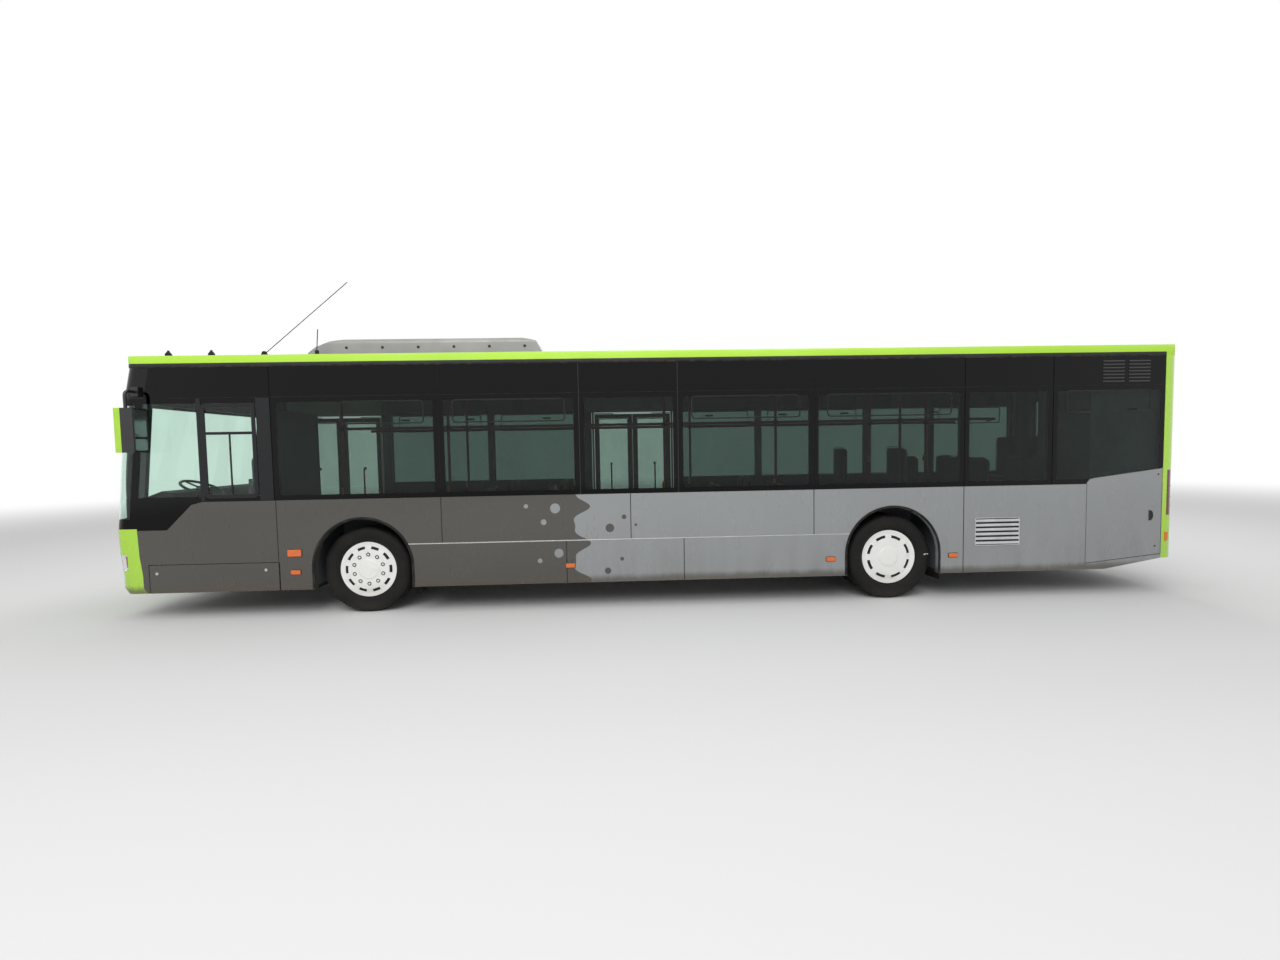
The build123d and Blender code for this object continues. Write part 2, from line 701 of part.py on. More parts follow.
# Steering knuckles: a bored round boss on the kingpin with the stub that carries the wheel
knuckle_z = (fork_z[0] + 1, fork_z[1] - fork_t - 1)
knuckle_r = 50
stub_r = 38
stub_end_y = front_wheel_y + 52
for side, name in ((1, "front_left_knuckle"), (-1, "front_right_knuckle")):
    with BuildPart() as knuckle:
        with BuildSketch(Plane.XY.offset(knuckle_z[0])) as boss:
            with Locations((front_axle_x, side * kingpin_y)):
                Circle(knuckle_r)
        extrude(boss.sketch, amount=knuckle_z[1] - knuckle_z[0])
        with BuildSketch(on_xz(side * kingpin_y)) as stub:
            with Locations((front_axle_x, wheel_z)):
                Circle(stub_r)
        extrude(stub.sketch, amount=-side * (stub_end_y - kingpin_y))
        with BuildSketch(Plane.XY.offset(knuckle_z[0] - 5)) as bore:
            with Locations((front_axle_x, side * kingpin_y)):
                Circle(pin_r + pin_clear)
        extrude(bore.sketch, amount=knuckle_z[1] - knuckle_z[0] + 10, mode=Mode.SUBTRACT)
    save(knuckle, name)

# Rear axle: drive axle with its final drive off centre, and the propeller shaft to the engine
spindle_r = 62
with BuildPart() as rear_axle:
    block(rear_axle_x - 70, rear_axle_x + 70, -640, 640, 270, 400)
    for side in (1, -1):
        low, high = sorted((side * 582, side * 650))
        block(rear_axle_x - 110, rear_axle_x + 110, low, high, 270, wheel_z + 90)
        with BuildSketch(on_xz(side * 600)) as spindle:
            with Locations((rear_axle_x, wheel_z)):
                Circle(spindle_r)
        extrude(spindle.sketch, amount=-side * (twin_outer_y - 600))
        low, high = sorted((side * (rail_y - rail_w / 2), side * (rail_y + rail_w / 2)))
        block(rear_axle_x - 60, rear_axle_x + 60, low, high, 390,
              rear_floor_z - floor_t - rail_h - floor_gap)
    with BuildSketch(on_yz(rear_axle_x - 190)) as drive:
        with Locations((-190, 335)):
            Circle(125)
    extrude(drive.sketch, amount=320)
    with BuildSketch(on_yz(engine_wall_x - 60 + floor_gap)) as shaft:
        with Locations((-190, 335)):
            Circle(45)
    extrude(shaft.sketch, amount=rear_axle_x - 150 - (engine_wall_x - 60 + floor_gap))
save(rear_axle, "rear_axle")

# Engine with its gearbox: one block, upright at the rear left
with BuildPart() as engine:
    block(tail_x + 260, engine_wall_x - 130, -360, 360, 290, 1090)
    block(engine_wall_x - 130.3, engine_wall_x - 60, -300, -80, 250, 430)
    for side in (1, -1):
        low, high = sorted((side * 350, side * (rail_y + rail_w / 2)))
        block(engine_wall_x - 400, engine_wall_x - 300, low, high,
              rear_floor_z - floor_t + floor_gap, rear_floor_z - floor_t + 60)
    block(tail_x + 400, tail_x + 500, 350, rail_y + rail_w / 2,
          rear_floor_z - floor_t + floor_gap, rear_floor_z - floor_t + 60)
save(engine, "engine")


# Wheels: tyre and steel rim with a domed cover; twins share one node each
bore_clear = 0.4
tyre_profile = [
    # radius, half width at that radius
    (bead_r, 92),
    (bead_r + 22, 92),
    (335, 120),
    (390, tyre_w / 2),
    (430, tyre_w / 2 - 2),
    (470, 112),
    (tyre_d / 2, 96),
]


def wheel_plane(x, y):
    """The plane of a wheel's section: local x outwards from its axis, local y to the left."""
    return Plane(origin=(x, y, wheel_z), x_dir=(1, 0, 0), z_dir=(0, 0, 1))


def tyre(x, y):
    """One tyre as a ring turned about its axle."""
    with BuildSketch(wheel_plane(x, y)) as ring:
        with BuildLine():
            Polyline(*tyre_profile, *[(r, -w) for r, w in tyre_profile[::-1]], close=True)
        make_face()
    revolve(ring.sketch, axis=Axis((x, y, wheel_z), (0, 1, 0)))


def rim(x, y, side, dish_y, hub_bore, closed):
    """One rim: bored hub, dished disc and barrel; a closed one ends in the wheel cover."""
    out = side
    barrel = [(rim_bore_r, 92), (bead_r + 18, 99), (bead_r + 18, 92.3), (bead_r - 0.6, 92.3)]
    with BuildSketch(wheel_plane(x, y)) as section:
        with BuildLine():
            Polyline(*barrel, *[(r, -w) for r, w in barrel[::-1]], close=True)
        make_face()
        with Locations(((rim_bore_r + 4 + hub_bore) / 2, out * dish_y)):
            Rectangle(rim_bore_r + 4 - hub_bore, 16)
        with Locations(((hub_r + hub_bore) / 2, out * (dish_y - 20))):
            Rectangle(hub_r - hub_bore, 56)
        if closed:
            with BuildLine():
                Polyline((0, out * 104), (100, out * 104), (120, out * 96), (215, out * 96),
                         (bead_r - 8, out * 84), (bead_r - 8, out * 78), (212, out * 88),
                         (116, out * 88), (96, out * 96), (0, out * 96), close=True)
            make_face()
    revolve(section.sketch, axis=Axis((x, y, wheel_z), (0, 1, 0)))


front_dish_y = 30
for side, name in ((1, "front_left"), (-1, "front_right")):
    with BuildPart() as tyre_part:
        tyre(front_axle_x, side * front_wheel_y)
    save(tyre_part, f"{name}_tyre")
    with BuildPart() as rim_part:
        rim(front_axle_x, side * front_wheel_y, side, front_dish_y, stub_r + bore_clear, True)
    save(rim_part, f"{name}_rim")

for side, name in ((1, "rear_left"), (-1, "rear_right")):
    with BuildPart() as tyre_part:
        for y in (twin_inner_y, twin_outer_y):
            tyre(rear_axle_x, side * y)
    save(tyre_part, f"{name}_tyres")
    with BuildPart() as rim_part:
        rim(rear_axle_x, side * twin_inner_y, side, 60, spindle_r + bore_clear, False)
        rim(rear_axle_x, side * twin_outer_y, side, -60, spindle_r + bore_clear, True)
    save(rim_part, f"{name}_rims")


# Door leaves: each hangs on a turning post by two arms and swings in beside its jamb
stile = 62
leaf_bottom_z = floor_z + leaf_end_gap
leaf_top_z = door_top_z - leaf_end_gap
leaf_glass_t = 6
hinge_pin_r = 7
hinge_pin_clear = 0.4
pin_in_leaf = 20
leaf_mid_y = -(half_width - leaf_t / 2)


def door_columns(x0, x1):
    """Both leaves of a door: name, jamb x and the way the leaf runs from its jamb."""
    return (("rear", x0, 1), ("front", x1, -1))


def leaf_places(x0, x1, jamb_x, run):
    """Post x, leaf pivot x and the leaf's two edges for one leaf."""
    post_x_ = jamb_x + run * post_from_jamb
    lead_x = (x0 + x1) / 2 - run * leaf_meet_gap / 2
    roller_x = lead_x - run * leaf_over_roller
    pivot_x = (post_x_ + roller_x) / 2
    return post_x_, pivot_x, post_x_ + run * leaf_from_post, lead_x


for door, x0, x1 in doors:
    for end, jamb_x, run in door_columns(x0, x1):
        post_at, pivot_at, trail_at, lead_at = leaf_places(x0, x1, jamb_x, run)
        low, high = sorted((trail_at, lead_at))
        with BuildPart() as leaf:
            block(low, high, leaf_mid_y - leaf_t / 2, leaf_mid_y + leaf_t / 2,
                  leaf_bottom_z, leaf_top_z)
            block(low + stile, high - stile, leaf_mid_y - leaf_t, leaf_mid_y + leaf_t,
                  leaf_bottom_z + stile + 20, leaf_top_z - stile, Mode.SUBTRACT)
            for z in (leaf_bottom_z, leaf_top_z - pin_in_leaf - 2):
                with BuildSketch(Plane.XY.offset(z)) as bore:
                    with Locations((pivot_at, post_line_y)):
                        Circle(hinge_pin_r + hinge_pin_clear)
                extrude(bore.sketch, amount=pin_in_leaf + 2, mode=Mode.SUBTRACT)
        save(leaf, f"{door}_door_{end}_leaf")

        with BuildPart() as pane:
            block(low + stile, high - stile, leaf_mid_y - 9, leaf_mid_y - 9 + leaf_glass_t,
                  leaf_bottom_z + stile + 20, leaf_top_z - stile)
        save(pane, f"{door}_door_{end}_glass")

        with BuildPart() as post:
            with BuildSketch(Plane.XY.offset(floor_z + leaf_post_gap)) as tube:
                with Locations((post_at, post_line_y)):
                    Circle(post_r)
            extrude(tube.sketch, amount=door_top_z - floor_z - 2 * leaf_post_gap)
            for z in arm_z:
                arm_low, arm_high = sorted((post_at, pivot_at + run * 14))
                block(arm_low, arm_high, post_line_y - arm_w / 2, post_line_y + arm_w / 2,
                      z, z + arm_t)
            for z in (arm_z[0] + arm_t - 1, leaf_top_z - pin_in_leaf):
                with BuildSketch(Plane.XY.offset(z)) as pin:
                    with Locations((pivot_at, post_line_y)):
                        Circle(hinge_pin_r)
                extrude(pin.sketch, amount=arm_z[1] + 1 - (leaf_top_z - pin_in_leaf))
        save(post, f"{door}_door_{end}_post")

# Door drives: the covers over the doors that hold the top ends of the turning posts
with BuildPart() as door_drives:
    for _, x0, x1 in doors:
        block(x0 - 60, x1 + 60, -inner_y + floor_gap, -inner_y + 150,
              door_top_z + 14 + leaf_post_gap, cant_z - 60)
save(door_drives, "door_drives")

# Rear left flap: outer skin over the engine bay, hinged along its front edge
with BuildPart() as rear_left_flap:
    with BuildSketch(on_xz(half_width)) as view:
        with BuildLine():
            Polyline(*rear_flap, close=True)
        make_face()
    extrude(view.sketch, amount=flap_t)
save(rear_left_flap, "rear_left_flap")

# Lower flap below the driver's window, hinged along its bottom edge
with BuildPart() as front_left_flap:
    block(front_flap_x[0], front_flap_x[1], half_width - flap_t, half_width, skirt_z,
          front_flap_top)
save(front_left_flap, "front_left_flap")

# Cab: raised platform, dashboard, seat, steering wheel and the partition behind the driver
cab_y = (180, inner_y - floor_gap)
cab_floor_z = 700
dash_x = front_seam_x - 95
wheel_at = (front_seam_x - 295, 700, 1400)
wheel_lean = 25
column_r = 32
dash_y = 1080


def steering_point(along):
    """A point on the steering column's axis, measured upwards from the wheel's middle."""
    a = radians(wheel_lean)
    return (wheel_at[0] - along * sin(a), wheel_at[1], wheel_at[2] + along * cos(a))


steering_axis = (-sin(radians(wheel_lean)), 0, cos(radians(wheel_lean)))
wheel_ring_r = 210


def steering_plane(along):
    """The plane across the steering column's axis."""
    return Plane(origin=steering_point(along), x_dir=(0, 1, 0), z_dir=steering_axis)


def steering_rim_plane():
    """The plane of the steering wheel's section, through its axis."""
    return Plane(origin=steering_point(0), x_dir=(0, 1, 0), z_dir=(cos(radians(wheel_lean)), 0,
                 sin(radians(wheel_lean))))


with BuildPart() as cab_platform:
    block(4290, front_seam_x - 70, cab_y[0], cab_y[1], floor_z, cab_floor_z)
    block(4330, front_seam_x - 70, cab_y[0] + 40, cab_y[1] + 5, floor_z - 5,
          cab_floor_z - 40, Mode.SUBTRACT)
save(cab_platform, "cab_platform")

with BuildPart() as dashboard:
    with BuildSketch(on_xz(dash_y)) as view:
        with BuildLine():
            Polyline((dash_x - 220, 1130), (dash_x - 210, 1270), (dash_x - 150, 1370),
                     (dash_x - 40, 1395), (dash_x + 120, 1335), (dash_x + 140, 1290),
                     (dash_x - 30, 1130), close=True)
        make_face()
    extrude(view.sketch, amount=dash_y + 540)
    block(dash_x - 130, dash_x + 80, -540, 120, floor_z, 1180)
    block(dash_x - 90, dash_x - 40, 400, 520, cab_floor_z + bond, 1140)
    block(dash_x - 100, dash_x + 20, cab_y[0] + 30, cab_y[0] + 60, cab_floor_z + bond, 1140)
    with BuildSketch(steering_plane(-16)) as column:
        Circle(column_r)
    extrude(column.sketch, amount=-330)
save(dashboard, "dashboard")

with BuildPart() as steering_wheel:
    with BuildSketch(steering_plane(0)) as hub:
        Circle(52)
    extrude(hub.sketch, amount=-15)
    with BuildSketch(steering_plane(-12)) as spokes:
        for turn in (0, 90, 180):
            with Locations(Location((0, 0), turn)):
                with Locations((120, 0)):
                    Rectangle(170, 40)
    extrude(spokes.sketch, amount=9)
    with BuildSketch(steering_rim_plane()) as ring:
        with Locations((wheel_ring_r, 0)):
            Circle(15)
    revolve(ring.sketch, axis=Axis(steering_point(0), steering_axis))
save(steering_wheel, "steering_wheel")


def seat(x, y, z, wide, back_h, facing=1, squab_z=420):
    """One seat pair: padded cushion and back on a shell with a foot; faces forward or back."""
    f = facing
    a, b = sorted((x, x + f * 430))
    block(a, b, y - wide / 2, y + wide / 2, z + squab_z - 70, z + squab_z)
    a, b = sorted((x - f * 70, x))
    block(a, b, y - wide / 2, y + wide / 2, z + squab_z - 70, z + squab_z + back_h)
    a, b = sorted((x + f * 60, x + f * 260))
    block(a, b, y - 60, y + 60, z + 0.3, z + squab_z - 70)


bench_z = 1180
seat_rows = [
    # x of the back, y of the middle, floor, width, facing
    (2060, 770, floor_z, 860, 1),
    (1330, 770, floor_z, 860, 1),
    (-620, 770, floor_z, 860, 1),
    (-1330, 770, floor_z, 860, 1),
    (2060, -770, floor_z, 860, 1),
    (1330, -770, floor_z, 860, 1),
    (-1330, -770, floor_z, 860, 1),
    (-3700, 770, rear_floor_z, 860, 1),
    (-4480, 770, rear_floor_z, 860, 1),
    (-3700, -770, rear_floor_z, 860, 1),
    (-4480, -770, rear_floor_z, 860, 1),
]
with BuildPart() as passenger_seats:
    for x, y, z, wide, facing in seat_rows:
        seat(x, y, z, wide, 560, facing)
    for x in (rear_axle_x,):
        for side in (1, -1):
            block(x - 200, x + 230, side * 860 - 300, side * 860 + 300, box_top_z + 0.3,
                  box_top_z + 90)
            block(x - 270, x - 200, side * 860 - 300, side * 860 + 300, box_top_z + 0.3,
                  box_top_z + 620)
    block(-5380, -4960, -1130, 260, bench_z + 0.3, bench_z + 110)
    block(-5460, -5380, -1130, 260, bench_z + 0.3, bench_z + 680)
save(passenger_seats, "passenger_seats")

seat_x = wheel_at[0] - 700
with BuildPart() as driver_seat:
    block(seat_x, seat_x + 450, 460, 940, cab_floor_z + 330, cab_floor_z + 430)
    block(seat_x - 90, seat_x, 460, 940, cab_floor_z + 360, cab_floor_z + 1080)
    block(seat_x - 90, seat_x - 10, 580, 820, cab_floor_z + 1080, cab_floor_z + 1230)
    block(seat_x + 90, seat_x + 350, 560, 840, cab_floor_z + bond, cab_floor_z + 330)
save(driver_seat, "driver_seat")

# Partition behind the driver and the low cab side towards the aisle
with BuildPart() as cab_partition:
    block(4300, 4330, cab_y[0], inner_y - floor_gap, cab_floor_z + 0.3, 2280)
    block(4330, 5180, cab_y[0], cab_y[0] + 30, cab_floor_z + 0.3, 1480)
save(cab_partition, "cab_partition")

# Engine tower: the closed cupboard inside the rear left corner that holds the cooling stack
tower_y = 400
with BuildPart() as engine_tower:
    block(rear_seam_x + 40, engine_wall_x - 45, tower_y, inner_y - floor_gap, bench_z + 0.3,
          cant_z + 30)
    block(rear_seam_x + 70, engine_wall_x - 75, tower_y + 30, inner_y - 30, bench_z - 5,
          cant_z, Mode.SUBTRACT)
    add(roof.part, mode=Mode.SUBTRACT)
save(engine_tower, "engine_tower")

# Grab rails: poles from the floor, overhead rails and the hangers that hold them to the roof
rail_r = 17
rail_z = 2080
overhead_y = 430
poles = [
    # x, y, floor
    (3880, 430, floor_z),
    (2590, -430, floor_z),
    (2590, 430, floor_z),
    (1100, -430, floor_z),
    (-520, -430, floor_z),
    (-90, 430, floor_z),
    (-1500, 430, floor_z),
    (-3100, -430, rear_floor_z),
    (-3100, 430, rear_floor_z),
    (-3910, 430, rear_floor_z),
    (-3910, -430, rear_floor_z),
]
with BuildPart() as grab_rails:
    for x, y, z in poles:
        with BuildSketch(Plane.XY.offset(z + 0.3)) as foot:
            with Locations((x, y)):
                Circle(rail_r)
        extrude(foot.sketch, amount=2925 - z)
    for y in (overhead_y, -overhead_y):
        with BuildSketch(on_yz(-4330)) as tube:
            with Locations((y, rail_z)):
                Circle(rail_r)
        extrude(tube.sketch, amount=8230)
    add(roof.part, mode=Mode.SUBTRACT)
save(grab_rails, "grab_rails")

# Mirrors: a shell on a bent arm at each front corner
mirror_t = 190
mirror_y = (half_width + 55, half_width + 235)
mirror_z = (1825, 2285)
arm_r = 16
foot_z = 2470
foot_x = seam_x(foot_z) + 79
mirror_x = foot_x - 45
with BuildPart() as mirrors:
    for side in (1, -1):
        low, high = sorted((side * mirror_y[0], side * mirror_y[1]))
        block(mirror_x - mirror_t / 2, mirror_x + mirror_t / 2, low, high, mirror_z[0], mirror_z[1])
        arm_y = (mirror_y[0] + mirror_y[1]) / 2
        with BuildLine() as path:
            FilletPolyline((foot_x, side * (half_width - 25), foot_z), (foot_x, side * arm_y, foot_z),
                           (foot_x, side * arm_y, mirror_z[1] - 20), radius=50)
        with BuildSketch(Plane(origin=(foot_x, side * (half_width - 25), foot_z),
                               z_dir=(0, side, 0))) as tube:
            Circle(arm_r)
        sweep(tube.sketch, path=path.line)
        low, high = sorted((side * (half_width - 60), side * (half_width + 30)))
        block(foot_x - 40, foot_x + 40, low, high, foot_z - 50, foot_z + 50)
    front_prism(foot_z - 80, foot_z + 80, screen_inset - bond, 0, Mode.SUBTRACT)
save(mirrors, "mirrors")

# Radio aerial: a thin whip on a round foot over the driver, leaning back
aerial_x = 4450
aerial_y = 950
aerial_foot_r = 22
aerial_foot_z = (crown_z - 75, crown_z - 35)
aerial_r = 4
aerial_tip = (3500, aerial_y, 3700)
with BuildPart() as radio_aerial:
    with BuildSketch(Plane.XY.offset(aerial_foot_z[0])) as foot:
        with Locations((aerial_x, aerial_y)):
            Circle(aerial_foot_r)
    extrude(foot.sketch, amount=aerial_foot_z[1] - aerial_foot_z[0])
    start = Vector(aerial_x, aerial_y, (aerial_foot_z[0] + aerial_foot_z[1]) / 2)
    whip = Vector(*aerial_tip) - start
    with BuildSketch(Plane(origin=start, z_dir=whip)) as rod:
        Circle(aerial_r)
    extrude(rod.sketch, amount=whip.length)
    add(roof.part, mode=Mode.SUBTRACT)
save(radio_aerial, "radio_aerial")
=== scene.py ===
from math import cos, exp, pi, radians, sin, sqrt

import bmesh
import bpy
from mathutils import Matrix, Vector


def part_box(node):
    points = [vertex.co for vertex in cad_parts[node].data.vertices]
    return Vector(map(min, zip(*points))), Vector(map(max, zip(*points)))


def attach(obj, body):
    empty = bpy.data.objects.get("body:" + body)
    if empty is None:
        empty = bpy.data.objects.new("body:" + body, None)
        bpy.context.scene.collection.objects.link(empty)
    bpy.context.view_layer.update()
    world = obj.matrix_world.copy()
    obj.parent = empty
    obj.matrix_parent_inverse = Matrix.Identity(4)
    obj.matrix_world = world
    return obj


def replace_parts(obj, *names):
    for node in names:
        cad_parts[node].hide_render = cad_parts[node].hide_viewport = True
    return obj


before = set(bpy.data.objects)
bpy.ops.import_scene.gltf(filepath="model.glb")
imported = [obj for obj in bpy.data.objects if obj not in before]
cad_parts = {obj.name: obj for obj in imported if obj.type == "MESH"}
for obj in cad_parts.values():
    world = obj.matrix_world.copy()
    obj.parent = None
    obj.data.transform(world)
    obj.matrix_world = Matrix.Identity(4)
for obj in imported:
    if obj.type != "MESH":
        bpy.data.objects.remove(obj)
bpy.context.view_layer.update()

# Camera: stands beside the bus at head height, level with the front half of the wheelbase,
# with the wide lens that takes in all twelve metres from a few metres away.
camera_place = Vector((0.473, 7.470, 1.753))
yaw, dip, tilt = radians(-2.01), radians(3.02), radians(1.02)
focal_share = 560 / 1280
look = Vector((sin(yaw) * cos(dip), -cos(yaw) * cos(dip), -sin(dip)))
level_right = Vector((-cos(yaw), -sin(yaw), 0))
level_down = look.cross(level_right)
right = cos(tilt) * level_right + sin(tilt) * level_down
down = -sin(tilt) * level_right + cos(tilt) * level_down
lens_data = bpy.data.cameras.new("side_camera")
lens_data.sensor_width = 36
lens_data.lens = lens_data.sensor_width * focal_share
lens_data.clip_end = 200
camera = bpy.data.objects.new("side_camera", lens_data)
bpy.context.scene.collection.objects.link(camera)
turn = Matrix((right, -down, -look)).transposed().to_4x4()
camera.matrix_world = Matrix.Translation(camera_place) @ turn
bpy.context.scene.camera = camera
bpy.context.scene.view_settings.view_transform = "Standard"

# Ladder frame, axle beams and drive: welded and cast steel under the floor. They are sprayed
# with dull black chassis paint and oil grey, and carry dried road dust on every upper side.


def shade(r, g, b):
    """A colour as it looks on a screen, 0 to 255, as the linear numbers that a shader takes."""
    out = []
    for c in (r / 255, g / 255, b / 255):
        out.append(c / 12.92 if c <= 0.04045 else ((c + 0.055) / 1.055) ** 2.4)
    return (*out, 1.0)


def dimmed(colour, share):
    """A colour made darker or lighter by a share."""
    return tuple(min(1.0, c * share) for c in colour[:3]) + (1.0,)


def plug(value, socket):
    """Feeds a socket from what nodes work out, or sets it to a number or colour."""
    if isinstance(value, Value):
        value.tree.links.new(value.socket, socket)
    else:
        socket.default_value = value


class Value:
    """A number or colour that nodes work out; arithmetic on it adds nodes."""

    def __init__(self, tree, socket):
        self.tree = tree
        self.socket = socket

    def step(self, what, first, second=0.0):
        """One step of arithmetic, as a value of its own."""
        made = self.tree.nodes.new("ShaderNodeMath")
        made.operation = what
        plug(first, made.inputs[0])
        plug(second, made.inputs[1])
        return Value(self.tree, made.outputs[0])

    def __add__(self, other):
        return self.step("ADD", self, other)

    def __sub__(self, other):
        return self.step("SUBTRACT", self, other)

    def __rsub__(self, other):
        return self.step("SUBTRACT", other, self)

    def __mul__(self, other):
        return self.step("MULTIPLY", self, other)

    def __pow__(self, other):
        return self.step("POWER", self, other)

    def __or__(self, other):
        return self.step("MAXIMUM", self, other)

    def __lt__(self, other):
        return self.step("LESS_THAN", self, other)

    def __gt__(self, other):
        return self.step("GREATER_THAN", self, other)

    def __abs__(self):
        return self.step("ABSOLUTE", self)

    def sine(self):
        return self.step("SINE", self)

    def spread(self, low, high, to_low=0.0, to_high=1.0):
        """The value between two limits, stretched smoothly over another range."""
        made = self.tree.nodes.new("ShaderNodeMapRange")
        made.interpolation_type = "SMOOTHSTEP"
        for socket, number in zip(made.inputs, (self, low, high, to_low, to_high)):
            plug(number, socket)
        return Value(self.tree, made.outputs[0])

    def mixed(self, first, second):
        """Two colours mixed, with this value as the share of the second."""
        made = self.tree.nodes.new("ShaderNodeMix")
        made.data_type = "RGBA"
        for number, value in ((0, self), (6, first), (7, second)):
            plug(value, made.inputs[number])
        return Value(self.tree, made.outputs[2])


class Paint:
    """A new material with its shader, and patterns on the object's own coordinates."""

    def __init__(self, name, rough=0.5, metal=0.0):
        self.material = bpy.data.materials.new(name)
        self.material.use_nodes = True
        self.tree = self.material.node_tree
        self.shader = self.tree.nodes["Principled BSDF"]
        self.place = self.value("TexCoord", "Object")
        self.set(roughness=rough, metallic=metal)

    def value(self, kind, result, **inputs):
        """A node of a kind with its inputs fed or set, and what one of its sockets gives."""
        made = self.tree.nodes.new("ShaderNode" + kind)
        for word, value in inputs.items():
            plug(value, made.inputs[word])
        return Value(self.tree, made.outputs[result])

    def set(self, **wanted):
        """Feeds or sets the shader's inputs, each named by its label in small letters."""
        for socket in self.shader.inputs:
            word = socket.name.lower().replace(" ", "_")
            if word in wanted:
                plug(wanted[word], socket)

    def axes(self):
        """The three coordinates of a place."""
        split = self.tree.nodes.new("ShaderNodeSeparateXYZ")
        plug(self.place, split.inputs[0])
        return [Value(self.tree, socket) for socket in split.outputs]

    def grain(self, scale, detail=3.0, rough=0.55, stretch=None):
        """Cloudy noise at a scale, from 0 to 1, if wanted stretched along the axes."""
        place = self.place
        if stretch is not None:
            place = self.value("Mapping", 0, Vector=place, Scale=stretch)
        return self.value("TexNoise", "Fac", Vector=place, Scale=scale, Detail=detail, Roughness=rough)

    def pitted(self, height, strength, depth):
        """Lets a height stand out as fine relief."""
        self.set(normal=self.value("Bump", 0, Strength=strength, Distance=depth, Height=height))


dust_tone = shade(128, 118, 102)


def plain_finish(name, colour, rough, metal=0.0, scale=9.0, vary=0.12, relief=0.2, dust=0.0, coat=0.0):
    """A worn surface of one colour: cloudy tone, streaky gloss, fine grain and some dust."""
    paint = Paint(name, rough, metal)
    tone = paint.grain(scale, 4.0).spread(0.3, 0.7).mixed(dimmed(colour, 1 - vary), dimmed(colour, 1 + vary))
    if dust > 0:
        tone = (paint.grain(scale * 0.45, 5.0).spread(0.42, 0.7) * dust).mixed(tone, dust_tone)
    fine = paint.grain(scale * 14, 3.0)
    paint.set(base_color=tone,
              roughness=fine.spread(0.2, 0.8, max(0.03, rough - 0.08), min(1.0, rough + 0.1)))
    if relief > 0:
        paint.pitted(fine, relief, 0.002)
    if coat > 0:
        paint.set(coat_weight=coat, coat_roughness=0.06)
    return paint


def dress(paint, *nodes):
    """Gives carried-over solids a finish."""
    for node in nodes:
        for place_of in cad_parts[node].material_slots:
            place_of.material = paint.material


dress(plain_finish("chassis_black", shade(34, 33, 32), 0.72, scale=6, vary=0.3, relief=0.4, dust=0.5),
      "chassis_rails")
dress(plain_finish("axle_grey", shade(70, 69, 67), 0.6, 0.3, scale=8, vary=0.25, relief=0.5, dust=0.55),
      "front_axle", "rear_axle", "front_left_knuckle", "front_right_knuckle")
dress(plain_finish("engine_cast", shade(96, 98, 97), 0.5, 0.6, scale=12, vary=0.25, relief=0.7, dust=0.3),
      "engine")

# Floor and wheel boxes: plywood decks on the frame, covered with speckled anti-slip sheet that
# is welded at its joints; the boxes over the wheels are lined with the same sheet, in grey.


def sheet_finish(name, colour, speck):
    """Anti-slip sheet: a plain ground with pale and dark grains rolled into it."""
    paint = Paint(name, 0.62)
    cells = paint.tree.nodes.new("ShaderNodeTexVoronoi")
    cells.inputs["Scale"].default_value = 190
    plug(paint.place, cells.inputs["Vector"])
    grit = Value(paint.tree, cells.outputs["Distance"]).spread(0.1, 0.32, 1.0, 0.0)
    pick = paint.value("SeparateColor", 0, Color=Value(paint.tree, cells.outputs["Color"]))
    ground = paint.grain(2.5, 5.0).mixed(colour, dimmed(colour, 0.72))
    under = paint.axes()[2] < 0.32
    paint.set(base_color=under.mixed((grit * (pick > 0.72)).mixed(ground, speck), shade(38, 37, 35)))
    paint.pitted(grit, 0.35, 0.001)
    return paint


floor_finish = sheet_finish("floor_sheet", shade(70, 74, 78), shade(170, 172, 170))
dress(floor_finish, "floor")
dress(sheet_finish("wheel_box_sheet", shade(92, 96, 99), shade(150, 152, 150)), "wheel_boxes")

# Side walls: aluminium panels bonded to a welded frame and sprayed in two tones, charcoal in front
# and silver behind, meeting in a wavy edge with loose dots. Above the belt line they are black.
charcoal = shade(72, 69, 63)
silver = shade(145, 148, 149)
lime = shade(176, 224, 62)
gloss_black = shade(16, 17, 18)
lining_grey = shade(104, 106, 105)
lining_y = 1.222
colour_edge_x = 0.93
step_x = -4.84
sill_z = 0.345
# centre x, centre z and radius of the loose dots, first those in the charcoal, then in the silver
silver_dots = [(1.20, 1.13, 0.055), (1.33, 0.98, 0.032), (1.17, 0.63, 0.05), (1.38, 0.55, 0.026),
               (1.52, 1.16, 0.024)]
charcoal_dots = [(0.60, 0.90, 0.048), (0.44, 1.02, 0.026), (0.63, 0.42, 0.036), (0.47, 0.55, 0.022),
                 (0.31, 0.93, 0.016)]


def inside_dots(x, z, dots):
    """1 inside any of the round dots on the side, 0 outside."""
    hits = [(x - dot_x) ** 2.0 + (z - dot_z) ** 2.0 < dot_r ** 2 for dot_x, dot_z, dot_r in dots]
    total = hits[0]
    for hit in hits[1:]:
        total = total | hit
    return total


def road_film(paint, z, tone, foot_z):
    """Road dirt on a body panel: thick and brown at its lower edge, thin and patchy above."""
    streaks = paint.grain(5.0, 5.0, 0.6, (1.0, 1.0, 0.22))
    low = (z + streaks * -0.08).spread(foot_z - 0.02, foot_z + 0.07, 0.8, 0.0)
    haze = z.spread(foot_z, 1.1, 0.14, 0.01) * streaks.spread(0.35, 0.7)
    return (low | haze).mixed(tone, shade(74, 66, 54))


